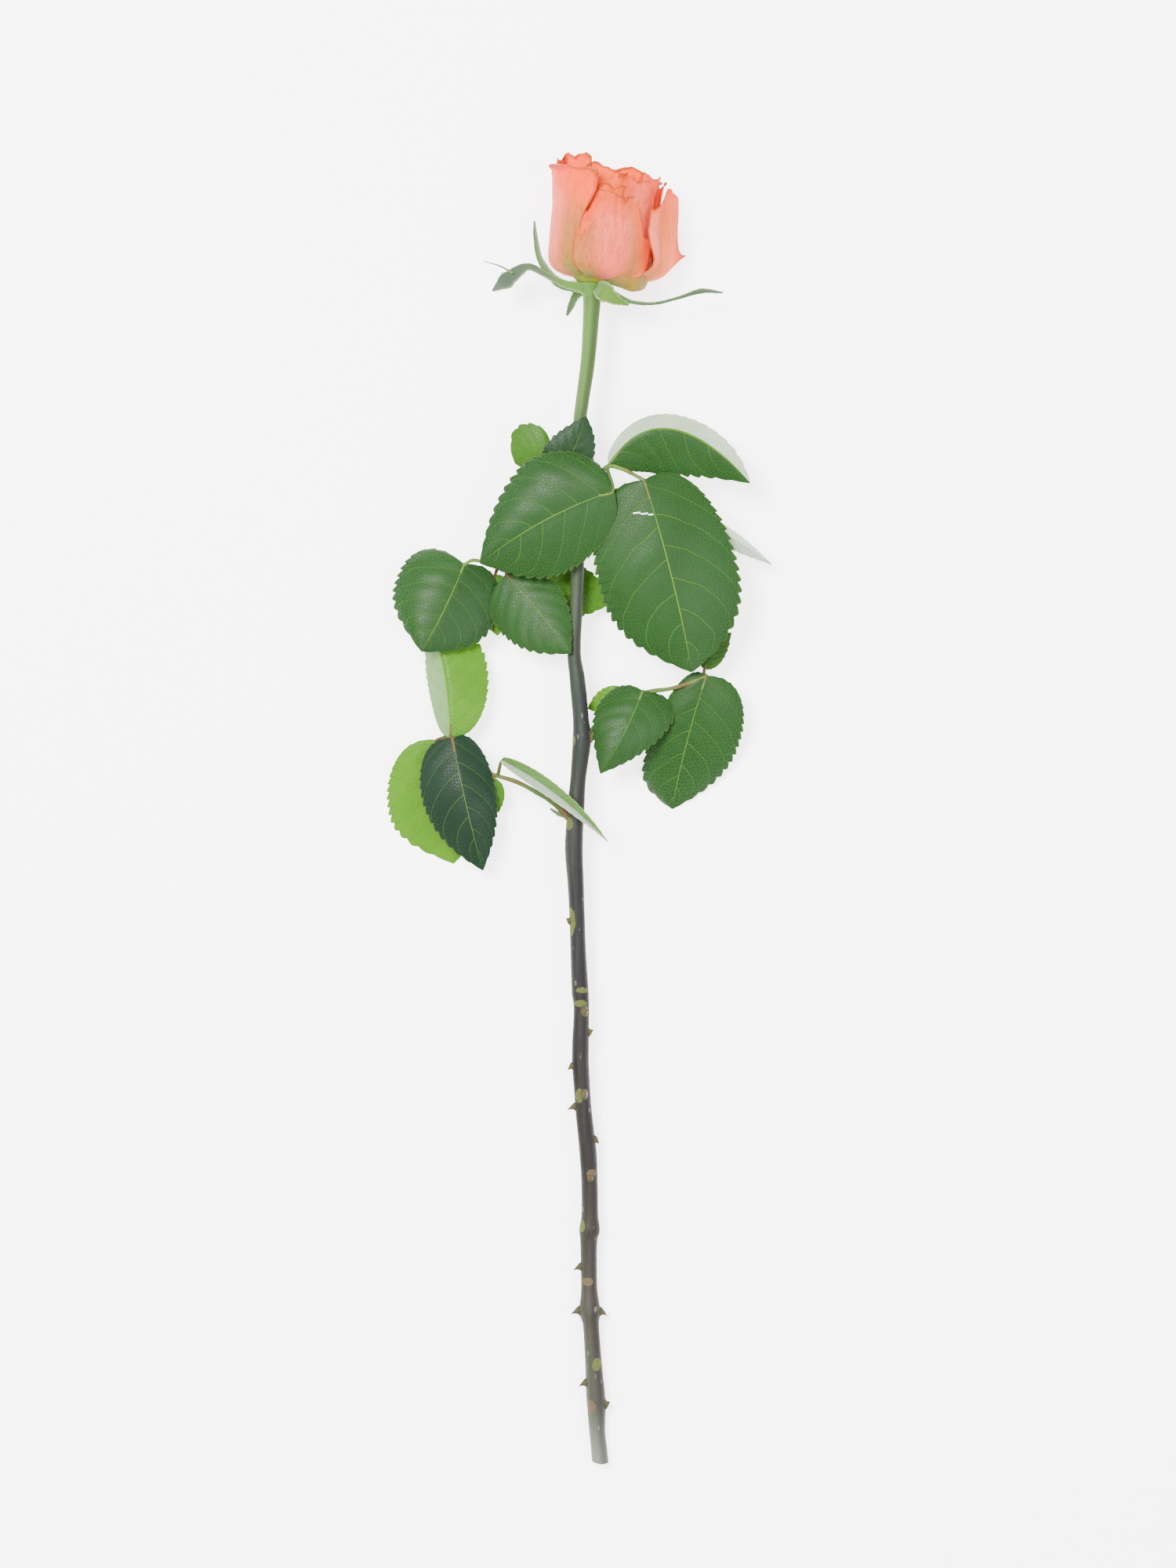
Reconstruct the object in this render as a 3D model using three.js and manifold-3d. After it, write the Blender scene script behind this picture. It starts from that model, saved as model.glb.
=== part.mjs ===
// A cut rose lying on a flat surface: stem, calyx, half-open bloom and five compound leaves.
// Millimetres. +Z is up, +Y runs from the cut end to the bloom, and the floor is z = 0.

import * as THREE from 'three';
import { mergeVertices } from 'three/addons/utils/BufferGeometryUtils.js';
import Module from 'manifold-3d';

const wasm = await Module();
wasm.setup();

// Driving dimensions

const BLADE = 0.7;          // thickness of leaflets, sepals and petals
const SEAT = 0.3;           // gap between neighbouring pieces
const FLOOR = { width: 400, length: 800, depth: 20 };
const STEM_SIDES = 10;
const STALK_SIDES = 6;
const BUMP_SIDES = 5;
const CLAW_SIDES = 14;
const BUD_SIDES = 10;

// Stem centre line from the neck to the cut end: x, y, height of the axis, diameter
const STEM = [
  [4.3, 198.0, 22.6, 6.9], [3.9, 190, 22.4, 6.3], [2.7, 173.2, 21.8, 5.6], [0.6, 158, 21.2, 5.2],
  [-0.6, 148, 20.8, 5.0], [-1.2, 131, 20.0, 5.0], [-1.4, 114.5, 19.3, 5.4], [-1.2, 97.7, 18.6, 5.0],
  [-1.9, 78, 17.8, 5.0], [-2.6, 61.7, 17.1, 5.2], [-1.4, 51.5, 16.6, 6.0], [0, 36, 16.0, 6.2],
  [0.3, 27.5, 15.6, 7.2], [-1.0, 14, 15.1, 6.0], [-1.9, 2.5, 14.6, 6.6], [-2.7, -13.4, 13.9, 6.9],
  [-1.9, -29.4, 13.2, 6.2], [-1.1, -52.4, 12.2, 6.0], [-0.4, -68, 11.5, 6.6], [0.1, -75.6, 11.2, 6.0],
  [-0.3, -93.8, 10.5, 6.6], [0.4, -107, 9.9, 6.3], [1.1, -116.2, 9.5, 6.3], [2.7, -131.3, 8.9, 6.7],
  [3.3, -144, 8.3, 6.3], [3.4, -155, 7.9, 6.6], [3.3, -160.5, 7.7, 8.0], [3.0, -166, 7.4, 6.6],
  [3.2, -182.6, 6.7, 6.3], [3.5, -192, 6.3, 8.2], [3.9, -197.5, 6.0, 6.4], [4.6, -208, 5.4, 6.3],
  [5.2, -217, 5.0, 6.8], [5.9, -227.5, 4.5, 7.4], [6.3, -238.7, 3.6, 6.2], [7.0, -246, 3.1, 6.3],
];
const CUT_END = { left: [4.0, -250.6], right: [10.6, -252.2] };   // the slanting cut, across the stem
const PAST_CUT = 9;          // how far the stem is drawn past its last row, before the cut
const CUT_BLOCK = { reach: 60, tall: 60, from: -10 };

// A bump's rings from its sunk root to its point: part of its length, part of its width and how far it droops
const BUMP_SUNK = 1.6;
const BUMP_RINGS = [
  { reach: 0, width: 0.84, droop: 0.1 },
  { reach: 0.45, width: 0.4, droop: 0.5 },
  { reach: 1, width: 0.14, droop: 1.1 },
];

// Prickles, buds and stubs on the stem: place along it (y), turn round it from the top (degrees,
// towards +X), length and root width
const BUMPS = [
  { y: -76, turn: 25, long: 3.4, wide: 5.0 }, { y: -108, turn: 15, long: 3.0, wide: 5.0 },
  { y: -41, turn: -75, long: 1.4, wide: 4.0 }, { y: -84, turn: 85, long: 1.9, wide: 4.4 },
  { y: -97.5, turn: -80, long: 1.9, wide: 4.0 }, { y: -113, turn: -85, long: 3.2, wide: 3.6 },
  { y: -126, turn: 80, long: 1.7, wide: 4.2 }, { y: -140, turn: 10, long: 1.2, wide: 4.4 },
  { y: -175, turn: -85, long: 3.0, wide: 3.8 }, { y: -192, turn: -88, long: 3.4, wide: 4.4 },
  { y: -192.5, turn: 88, long: 2.6, wide: 4.2 }, { y: -220, turn: -80, long: 3.0, wide: 4.0 },
  { y: -228, turn: 82, long: 1.8, wide: 5.0 }, { y: 27.5, turn: -20, long: 1.6, wide: 4.6 },
];

// Bloom: its axis leaves the calyx at BLOOM_ROOT and leans a little to the right
const BLOOM_ROOT = new THREE.Vector3(4.4, 202.4, 22.6);
const BLOOM_LEAN = 6.5;      // degrees from +Y towards +X
const BUD = { radius: 6.5, tall: 37 };
const BUD_PROFILE = [[0, 0.03], [0.7, 0.08], [1, 0.4], [0.85, 0.8], [0.45, 0.97], [0, 1]];   // parts of its size
const CLAW = { radius: 5.4, top: 6.0, tall: 4.5 };
const GUARD_ROOT = [3.6, 1.2];   // distance from the axis and height of the outer petals' roots

// Where along a petal, as a part of its length, its outline changes
const SWELL = { to: 0.42, power: 5 };        // it reaches its belly, most of it early
const CLOSE = { from: 0.45, over: 0.45 };    // it goes from its belly to its rim
const ROLL_FROM = 0.84;      // its rim starts to turn out
const SAG_TO = 0.4;          // it hangs below its root up to here
const FLARE = { from: 0.5, over: 0.4 };      // it widens towards its rim
const CREASE_WIDTH = 0.16;   // width of its ridge, as a part of its half width
const CURL_WAVE = { size: 0.25, waves: 7, shift: 4 };      // how unevenly its rim turns
const OUT_WAVE = { size: 0.5, waves: 4.3, shift: 1 };      // how its rim waves out and in
const TALL_WAVE = { size: 0.9, waves: 6.1, shift: 2.3 };   // how its rim waves up and down
const FLAT_REST = 0.25;      // height of the lowest petal's middle where it lies on the floor

// Outer petals. at: direction round the axis, 0 faces up and 90 faces +X. half: its spread to each side.
// belly and rim: distance from the axis. tall: length along the axis. roll and curl: radius of the curled
// rim and how far it turns, at each side. spiral: how far the +X side stands outside the other. fall: how
// much lower each corner is, from shoulder outwards. slant: how much lower the +X side is. sag: how far its
// belly hangs at its left, middle and right. claw: width of its root at each side, as a part of its width,
// which is full at spread. flare: how much wider its rim is. crease: where a ridge runs and its height.
// corner: how far its right corner stands out. flat: how much flatter than round its section is.
const PETAL = {
  slant: 0, sag: [0, 0, 0], claw: [0.7, 0.7], spread: 0.6, flare: [0, 0], shoulder: [0.2, 0.2], ramp: 0.8,
  crease: [0, 0], corner: 0, fall: [0.1, 0.1], spiral: 1.0, flat: 1.06,
};
const GUARDS = [
  {
    at: -70, half: [52, 50], belly: 18.2, rim: 20.2, tall: 41.0, roll: [0.8, 3.0], curl: [60, 190],
    spiral: 0.6, fall: [0.06, 0.13], sag: [3, 3, 2], claw: [0.8, 0.86], spread: 0.4, flare: [0, 0.3],
  },
  {
    at: 22, half: [49, 53], belly: 19.8, rim: 17.6, tall: 33.0, roll: [0.8, 0.9], curl: [40, 130],
    spiral: 1.1, fall: [0.34, 0.57], shoulder: [0.45, 0.34], ramp: 0.32, sag: [3, 4, 4.5], claw: [0.8, 0.4],
    spread: 0.32,
  },
  { at: 4, half: [24, 22], belly: 17.0, rim: 16.4, tall: 35.4, roll: [1.2, 0.9], curl: [120, 120] },
  {
    at: 46, half: [22, 50], belly: 18.0, rim: 19.2, tall: 39.4, roll: [0.8, 0.9], curl: [40, 80],
    spiral: 1.8, fall: [0.16, 0.45], shoulder: [0.1, 0.0], ramp: 1.0, claw: [0.9, 0.8],
  },
  {
    at: 60, half: [38, 42], belly: 19.0, rim: 17.6, tall: 19.0, roll: [0.8, 0.8], curl: [40, 40],
    spiral: 2.8, fall: [0.3, 0.3], sag: [0, 7, 5], claw: [0.9, 0.78],
  },
  { at: 78, half: [30, 30], belly: 18.8, rim: 20.6, tall: 42.0, roll: [0.8, 1.2], curl: [60, 110] },
  {
    at: 88, half: [28, 30], belly: 27.4, rim: 27.8, tall: 38.0, roll: [0.8, 0.8], curl: [40, 60],
    spiral: 6.0, fall: [0.34, 0.62], shoulder: [0.1, -0.05], ramp: 0.8, sag: [0, 2, 2], crease: [-0.7, 1.4],
    corner: 5.0,
  },
  {
    at: 138, half: [52, 50], belly: 22.4, rim: 22.6, tall: 41.0, roll: [1.2, 1.4], curl: [100, 120],
    spiral: 0.8, sag: [2, 2, 2],
  },
  {
    at: -146, half: [54, 46], belly: 19.6, rim: 20.0, tall: 45.0, roll: [1.2, 0.8], curl: [100, 60],
    spiral: -1.0, fall: [0.2, 0.0], slant: -2.5, sag: [2, 2, 2],
  },
];
const GUARD_CELLS = { columns: 7, stations: [0, 0.1, 0.24, 0.5, 0.84, 0.92, 1] };

// Middle and inner petals, placed round the axis by the golden angle, each ring closer and more upright
const WHORLS = [
  {
    count: 6, start: -120, belly: 16.2, step: 0.5, rim: 15.8, tall: 44.0, lean: 2.6, half: 50, roll: 1.6,
    curl: 130, root: [5.0, 4.0],
  },
  {
    count: 5, start: 30, belly: 11.8, step: 0.5, rim: 10.8, tall: 42.6, lean: 1.8, half: 62, roll: 1.2,
    curl: 110, root: [5.0, 8.0],
  },
];
const WHORL_CELLS = { columns: 4, stations: [0, 0.25, 0.84, 1] };
const GOLDEN = 137.5;

// Calyx: the receptacle as radius and height on the bloom's axis, the room that the petals' claws take in
// it, and the sepals by centre line, half widths along it and how steeply the blade lies
const RECEPTACLE = [[0, -3.9], [3.3, -3.9], [3.9, -2.4], [5.0, -1.0], [5.2, -SEAT], [0, -SEAT]];
const CLAW_ROOM = [[0, -SEAT], [6.2, -SEAT], [8.5, 1.6], [13, 3.0], [0, 3.0]];
const SEPALS = [
  {
    line: [[1.6, 200.6, 23.4], [-6.5, 202.2, 24.5], [-13.5, 205.5, 25.5], [-20.5, 208.5, 25.5],
      [-28.5, 203.5, 24.0], [-33.8, 199.6, 23.0]],
    half: [2.4, 1.5, 1.1, 1.6, 3.6, 0.4],
    slope: 20,
  },
  {
    line: [[1.8, 200.8, 21.0], [-8.5, 203.6, 15.0], [-15.4, 212, 13.5], [-17.4, 220.5, 16.0],
      [-17.9, 226.8, 18.5]],
    half: [2.6, 2.0, 1.4, 1.0, 0.4],
    slope: -35,
  },
  {
    line: [[2.6, 200.6, 20.6], [-1.6, 199.0, 16.5], [-4.0, 194.4, 14.8], [-5.4, 191.0, 14.5]],
    half: [2.4, 1.6, 1.2, 0.4],
    slope: 0,
  },
  {
    line: [[5.4, 200.8, 26.0], [7.4, 199.4, 31.6], [9.4, 197.6, 33.4], [13.2, 195.2, 32.4],
      [18.2, 193.4, 30.5]],
    half: [2.0, 3.4, 3.8, 2.0, 0.4],
    slope: 8,
  },
  {
    line: [[7.4, 200.6, 22.4], [12.6, 198.4, 22.0], [19.2, 195.4, 22.5], [28, 194.6, 24.0], [37, 196.6, 25.0],
      [46, 199.2, 25.5], [54.2, 198.6, 25.0]],
    half: [2.2, 1.3, 0.8, 0.6, 0.6, 1.1, 0.3],
    slope: 30,
  },
];
const SEPAL_DIP = 0.25;      // how far a sepal's middle dips, as a part of its half width

// Leaves. stalk: x, y, z and radius from the stem outwards. Leaflets: base, tip, how far the midrib bends to
// its left, where along the line to its tip and how far it rises. left and right give the half blade's width,
// its slope at the midrib, how much that slope turns towards the edge, where it is widest and how full it
// stays towards the tip. lobe: how far the blade reaches back beside its base, as a part of its length.
const LEAVES = {
  leaf_upper_left: {
    stalk: [[-2.4, 111.5, 19.4, 1.3], [-6.2, 117, 21.0, 0.9], [-9.0, 126.5, 23.2, 0.8],
      [-13.0, 135.6, 21.4, 0.7]],
    leaflets: [
      { base: [-9, 126.5, 23.4], tip: [1.8, 151.6, 27.6], bow: -1, arch: 1.6, left: [11, 6, -14, 0.36, 1.6],
        right: [9, -6, -8, 0.36, 2.0] },
      { base: [-13, 135.4, 21.4], tip: [-25, 134.0, 16.5], bow: -1.5, arch: 1, left: [11, -18, -20, 0.5, 2.5],
        right: [13.5, 12, -20, 0.5, 2.5] },
    ],
  },
  leaf_upper_right: {
    stalk: [[-0.8, 114.8, 20.6, 1.4], [3.6, 123.5, 25.0, 1.0], [9.5, 131.5, 29.5, 0.9],
      [15.5, 131, 31.5, 0.8], [24, 126.6, 32.5, 0.7]],
    leaflets: [
      { base: [12.2, 122.5, 32.6], tip: [-38.6, 95.4, 25], bow: -2.5, arch: 2, left: [22, -4, -14, 0.5, 2.3],
        right: [24.5, 12, -44, 0.4, 1.45], stalk: [10, 131, 29.6] },
      { base: [24, 126.4, 32.6], tip: [42.4, 53.8, 25], bow: 1.2, arch: 3, left: [27, -6, -14, 0.5, 2.8],
        right: [29, -2, -22, 0.46, 2.6], lobe: 0.14 },
      { base: [11.2, 133.4, 30], tip: [64.4, 125.6, 29], bow: 15.5, peak: 0.28, arch: 2,
        left: [11, -45, -10, 0.66, 2.8], right: [19, -12, -14, 0.45, 2.3], stalk: [9.8, 131.6, 29.6] },
      { base: [33, 118, 25], tip: [73.2, 95.2, 19.5], bow: 1, arch: 1, left: [11, -64, -10, 0.4, 1.8],
        right: [11, -62, -10, 0.4, 1.8], small: true, stalk: [23.6, 126.8, 32.2] },
    ],
  },
  leaf_middle_left: {
    stalk: [[-3.2, 73.0, 17.2, 1.4], [-13, 84.5, 15.6, 0.9], [-20, 89.5, 15.4, 0.8], [-27.5, 92.4, 16.0, 0.8],
      [-40, 97.0, 16.5, 0.7], [-45.2, 95.1, 16.6, 0.7]],
    leaflets: [
      { base: [-44.8, 95.4, 16.6], tip: [-61.1, 61.9, 19], bow: 0.8, arch: 1.5,
        left: [20.5, -4, -22, 0.46, 1.9], right: [23.5, 6, -46, 0.35, 2.8], lobe: 0.3 },
      { base: [-28.6, 91.6, 17.4], tip: [-3.8, 61.2, 22.4], bow: 0.5, arch: 1,
        left: [12.5, 0, -16, 0.45, 1.5], right: [17, -6, -14, 0.33, 2.5], stalk: [-28, 92.4, 16.2] },
      { base: [-20, 90.4, 13.6], tip: [10.2, 80.0, 8.8], bow: 1.5, arch: -0.5, left: [10, -8, -8, 0.5, 2.4],
        right: [10.5, -4, -8, 0.5, 2.4], stalk: [-20.5, 90, 15.4] },
      { base: [-33, 91.5, 13.2], tip: [-32.2, 68.4, 9.8], bow: 0, arch: 0.5, left: [8, -6, -10, 0.4, 2.0],
        right: [8.5, -6, -10, 0.4, 2.0], small: true, stalk: [-32, 94, 16.2] },
    ],
  },
  leaf_lower_left: {
    stalk: [[-3.6, -2.6, 14.4, 1.6], [-10.2, 3.6, 15.0, 1.0], [-16, 7.4, 14.8, 0.9], [-24.8, 12.1, 14.0, 0.9],
      [-36, 15.8, 12.2, 0.8], [-43.5, 21.5, 11.6, 0.8], [-49.8, 28.8, 12.8, 0.7]],
    leaflets: [
      { base: [-49.3, 28.6, 16], tip: [-37.6, -22.0, 13.8], bow: -0.5, arch: 3.5,
        left: [13.2, -8, -20, 0.4, 2.0], right: [17.5, -10, -16, 0.4, 2.0], lobe: 0.14 },
      { base: [-55.6, 28.2, 11], tip: [-49.2, -19.6, 0.25], bow: 1, arch: 1.5, left: [16, -6, -16, 0.4, 2.4],
        right: [24.5, -6, -14, 0.52, 2.6], stalk: [-49.6, 28.4, 12.6], lobe: 0.16 },
      { base: [-50.2, 29.4, 15], tip: [-58.2, 75.4, 11], bow: -2.5, arch: 1, left: [14, -50, -10, 0.5, 2.2],
        right: [17, -8, -14, 0.55, 2.2] },
      { base: [-30, 20.4, 17.4], tip: [10.4, -10.9, 22], bow: 2.2, arch: 1.5, left: [6.4, 56, 8, 0.35, 1.6],
        right: [6.4, 60, 8, 0.35, 1.6], stalk: [-32, 14.4, 12.8] },
      { base: [-33.4, 13.4, 13.6], tip: [-43.5, -6.5, 8], bow: 0, arch: 0.5, left: [8, -10, -10, 0.4, 2.0],
        right: [8, -10, -10, 0.4, 2.0], small: true, stalk: [-33, 14.8, 12.6] },
    ],
  },
  leaf_lower_right: {
    stalk: [[1.8, 27.0, 15.6, 1.6], [11.5, 37.0, 16.6, 1.0], [22, 45.4, 17.0, 0.9], [34.3, 47.8, 17.2, 0.8],
      [40.5, 49.6, 17.4, 0.8], [48, 52.6, 17.6, 0.7]],
    leaflets: [
      { base: [23.6, 46.8, 18.6], tip: [7.4, 15.2, 20.5], bow: 1, arch: 2.5, left: [16, -6, -18, 0.22, 1.35],
        right: [15, -8, -26, 0.4, 1.7], lobe: 0.2, stalk: [23.4, 45.8, 17.2] },
      { base: [48, 52.6, 18], tip: [35.2, 1.6, 0.25], bow: -1, arch: 4, left: [21, -6, -18, 0.4, 2.5],
        right: [15, 6, -34, 0.7, 3.0], lobe: 0.14 },
      { base: [47.4, 55.6, 17], tip: [57.8, 69.4, 13.6], bow: 1, arch: 0.5, left: [4.5, -10, -10, 0.4, 2.0],
        right: [5, -16, -10, 0.4, 2.0], small: true, stalk: [47, 52.4, 17.4] },
      { base: [17.5, 45.8, 13.6], tip: [2.6, 40.4, 9.6], bow: 0, arch: 0.5, left: [5.5, -6, -10, 0.4, 2.0],
        right: [5.5, -6, -10, 0.4, 2.0], small: true, stalk: [19, 44.2, 16.6] },
    ],
  },
};
const LOBE = 0.06;           // how far a blade reaches back where its leaflet names no lobe
const TOOTH = 0.055;         // depth of a tooth, as a part of the half blade's width
const RIB_CELLS = { usual: 8, small: 4 };   // cells along a midrib
const CROWDING = 1.3;        // crowds the cells towards the base, where the outline turns most
const EDGE_STEPS = 3;        // steps of the toothed edge beside each cell, two to a tooth
const TOOTH_LEAN = 0.3;      // how far a tooth leans towards the tip, in steps
const BLADE_WAVE = { size: 0.35, waves: 9 };   // how its edge waves up and down
const STIPULE = { from: 1.2, long: 9, spread: 2.4, half: [0.7, 0.8, 0.3] };
const LEAFLET_STALK = { into: 0.1, radii: [0.75, 0.65, 0.4] };

// Small helpers

const UP = new THREE.Vector3(0, 0, 1);
const rad = THREE.MathUtils.degToRad;
const vec = ([x, y, z]) => new THREE.Vector3(x, y, z);
const clamp = THREE.MathUtils.clamp;
const smooth = (t) => THREE.MathUtils.smoothstep(t, 0, 1);

// A repeatable draw between 0 and 1
function draw(i) {
  const n = Math.sin(i * 12.9898 + 4.1) * 43758.5453;
  return n - Math.floor(n);
}

// A closed mesh from points and triangles
function closedMesh(points, triangles) {
  const geometry = new THREE.BufferGeometry();
  const positions = points.flatMap((p) => [p.x, p.y, p.z]);
  geometry.setAttribute('position', new THREE.Float32BufferAttribute(positions, 3));
  geometry.setIndex(triangles.flat());
  return geometry;
}

// Average normal at every point of an open sheet
function sheetNormals(points, triangles) {
  const normals = points.map(() => new THREE.Vector3());
  const one = new THREE.Vector3();
  const two = new THREE.Vector3();
  for (const [a, b, c] of triangles) {
    one.subVectors(points[b], points[a]);
    two.subVectors(points[c], points[a]);
    one.cross(two);
    for (const i of [a, b, c]) normals[i].add(one);
  }
  return normals.map((n) => n.normalize());
}

// Gives an open sheet its thickness: the same triangles on both faces and a wall round its edge
function thicken(points, triangles, thickness) {
  const normals = sheetNormals(points, triangles);
  const half = thickness / 2;
  const top = points.map((p, i) => p.clone().addScaledVector(normals[i], half));
  const bottom = points.map((p, i) => p.clone().addScaledVector(normals[i], -half));
  const n = points.length;
  const faces = [];
  const edges = new Map();
  for (const [a, b, c] of triangles) {
    faces.push([a, b, c], [a + n, c + n, b + n]);
    for (const [p, q] of [[a, b], [b, c], [c, a]]) {
      if (edges.has(`${q},${p}`)) edges.delete(`${q},${p}`);
      else edges.set(`${p},${q}`, [p, q]);
    }
  }
  for (const [p, q] of edges.values()) faces.push([p, p + n, q + n], [p, q + n, q]);
  return closedMesh([...top, ...bottom], faces);
}

// A tube along points with a radius at each, closed at both ends
function tube(centres, radii, sides) {
  const points = [];
  const faces = [];
  const count = centres.length;
  centres.forEach((centre, i) => {
    const before = centres[Math.max(i - 1, 0)];
    const after = centres[Math.min(i + 1, count - 1)];
    const along = new THREE.Vector3().subVectors(after, before).normalize();
    const across = new THREE.Vector3().crossVectors(along, UP).normalize();
    const lift = new THREE.Vector3().crossVectors(across, along);
    for (let k = 0; k < sides; k += 1) {
      const angle = (2 * Math.PI * k) / sides;
      points.push(centre.clone()
        .addScaledVector(across, radii[i] * Math.cos(angle))
        .addScaledVector(lift, radii[i] * Math.sin(angle)));
    }
  });
  for (let i = 0; i < count - 1; i += 1) {
    for (let k = 0; k < sides; k += 1) {
      const next = (k + 1) % sides;
      const [a, b, c, d] = [i * sides + k, i * sides + next, (i + 1) * sides + next, (i + 1) * sides + k];
      faces.push([a, d, c], [a, c, b]);
    }
  }
  for (let k = 1; k < sides - 1; k += 1) {
    const last = (count - 1) * sides;
    faces.push([0, k, k + 1], [last, last + k + 1, last + k]);
  }
  return closedMesh(points, faces);
}

// Solids for joining and cutting
function toSolid(geometry) {
  const bare = geometry.clone();
  bare.deleteAttribute('normal');
  bare.deleteAttribute('uv');
  const merged = mergeVertices(bare, 1e-4);
  return new wasm.Manifold(new wasm.Mesh({
    numProp: 3,
    vertProperties: new Float32Array(merged.attributes.position.array),
    triVerts: new Uint32Array(merged.index.array),
  }));
}

// Joins pieces into one body, and fills any pocket that the joining seals
function fuse(geometries) {
  return largest(geometries.map(toSolid).reduce((all, next) => all.add(next)));
}

function largest(solid) {
  return solid.decompose().reduce((best, body) => (body.volume() > best.volume() ? body : best));
}

function fromSolid(solid) {
  const { vertProperties, triVerts, numProp } = solid.getMesh();
  const geometry = new THREE.BufferGeometry();
  const positions = [];
  for (let i = 0; i < vertProperties.length; i += numProp) positions.push(...vertProperties.slice(i, i + 3));
  geometry.setAttribute('position', new THREE.Float32BufferAttribute(positions, 3));
  geometry.setIndex([...triVerts]);
  geometry.computeVertexNormals();
  return geometry;
}

// What reaches below the floor is cut flat, where the flower rests
function floorBlock() {
  const { width, length, depth } = FLOOR;
  const block = new THREE.BoxGeometry(width, length, depth);
  block.translate(0, 0, -depth / 2);
  return toSolid(block);
}

function piece(name, solid, colour, roughness) {
  const material = new THREE.MeshStandardMaterial({ color: colour, roughness, metalness: 0 });
  const mesh = new THREE.Mesh(fromSolid(solid), material);
  mesh.name = name;
  return mesh;
}

// Stem

function stemAt(y) {
  const i = Math.max(0, Math.min(STEM.length - 2, STEM.findIndex((row) => row[1] <= y) - 1));
  const [low, high] = [STEM[i], STEM[i + 1]];
  const t = (y - low[1]) / (high[1] - low[1]);
  return low.map((value, k) => value + (high[k] - value) * t);
}

// A blunt thorn or bud whose root is sunk in the stem and whose point droops towards the cut end
function bump({ y, turn, long, wide }) {
  const [x, , z, diameter] = stemAt(y);
  const out = new THREE.Vector3(Math.sin(rad(turn)), 0, Math.cos(rad(turn)));
  const at = (distance, droop) => {
    return new THREE.Vector3(x, y - droop, z).addScaledVector(out, diameter / 2 + distance);
  };
  const centres = [at(-BUMP_SUNK, 0), ...BUMP_RINGS.map((ring) => at(ring.reach * long, ring.droop))];
  const radii = [wide / 2, ...BUMP_RINGS.map((ring) => (ring.width * wide) / 2)];
  return tube(centres, radii, BUMP_SIDES);
}

// What lies past the slanting cut
function cutBlock() {
  const left = new THREE.Vector2(...CUT_END.left);
  const right = new THREE.Vector2(...CUT_END.right);
  const past = right.clone().sub(left).setLength(CUT_BLOCK.reach);
  const down = new THREE.Vector2(0, -CUT_BLOCK.reach);
  left.sub(past);
  right.add(past);
  const shape = new THREE.Shape([left, left.clone().add(down), right.clone().add(down), right]);
  const block = new THREE.ExtrudeGeometry(shape, { depth: CUT_BLOCK.tall, bevelEnabled: false });
  block.translate(0, 0, CUT_BLOCK.from);
  return toSolid(block);
}

function stem() {
  const foot = STEM[STEM.length - 1];
  const rows = [...STEM, [foot[0] + 0.7, foot[1] - PAST_CUT, foot[2] - 0.1, foot[3]]];
  const centres = rows.map(([x, y, z]) => new THREE.Vector3(x, y, z));
  const radii = rows.map((row) => row[3] / 2);
  const shaft = tube(centres, radii, STEM_SIDES);
  return fuse([shaft, ...BUMPS.map(bump)]).subtract(cutBlock()).subtract(floorBlock());
}

// The stem with the seat gap round it, which the calyx and every leaf's foot are cut to
function stemSleeve() {
  const centres = STEM.map(([x, y, z]) => new THREE.Vector3(x, y, z));
  const radii = STEM.map((row) => row[3] / 2 + SEAT);
  const neckward = new THREE.Vector3().subVectors(centres[0], centres[1]).setLength(SEAT);
  const beyond = centres[0].clone().add(neckward);
  return toSolid(tube([beyond, ...centres], [radii[0], ...radii], STEM_SIDES));
}

// Bloom

const leanAngle = rad(BLOOM_LEAN);
const AXIS = new THREE.Vector3(Math.sin(leanAngle), Math.cos(leanAngle), 0);
const SIDE = new THREE.Vector3(Math.cos(leanAngle), -Math.sin(leanAngle), 0);

// A point at a height along the bloom's axis, in a direction round it and a distance out
function round(height, direction, out, along = 0) {
  const outward = UP.clone().multiplyScalar(Math.cos(direction)).addScaledVector(SIDE, Math.sin(direction));
  const sideways = SIDE.clone().multiplyScalar(Math.cos(direction)).addScaledVector(UP, -Math.sin(direction));
  return BLOOM_ROOT.clone()
    .addScaledVector(AXIS, height)
    .addScaledVector(outward, out)
    .addScaledVector(sideways, along);
}

// A value that changes smoothly from the petal's left side to its right
function eachSide([left, right], u) {
  return left + (right - left) * smooth((u + 1) / 2);
}

// A value that changes evenly from the petal's left to its middle and on to its right
function acrossPetal([left, middle, right], u) {
  return u < 0 ? middle + (middle - left) * u : middle + (right - middle) * u;
}

function wave({ size, waves, shift }, u, phase) {
  return size * Math.sin(waves * u + shift * phase);
}

// How far out the petal stands: s is its height as a part of its length, v the part of its own line
function petalOut(p, u, v, s, phase) {
  const swell = 1 - (1 - Math.min(s / SWELL.to, 1)) ** SWELL.power;
  const ridge = p.crease[1] * Math.exp(-(((u - p.crease[0]) / CREASE_WIDTH) ** 2)) * s;
  return p.root[0] + (p.belly - p.root[0]) * swell + (p.rim - p.belly) * smooth((s - CLOSE.from) / CLOSE.over)
    + p.spiral * u * smooth(s * 2) + ridge + p.corner * Math.max(u, 0) ** 6 * v ** 5
    + wave(OUT_WAVE, u, phase) * v ** 4;
}

// How high the petal stands along the bloom's axis, without its curled rim
function petalHeight(p, u, v, s, phase) {
  const length = p.tall - eachSide(p.roll, u) - p.root[1];
  const hang = acrossPetal(p.sag, u) * Math.sin(Math.PI * Math.min(s / SAG_TO, 1));
  return p.root[1] + length * Math.min(s / ROLL_FROM, 1) - hang - p.slant * (u + 1) * 0.5 * s * s
    + wave(TALL_WAVE, u, phase) * v ** 2;
}

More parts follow.
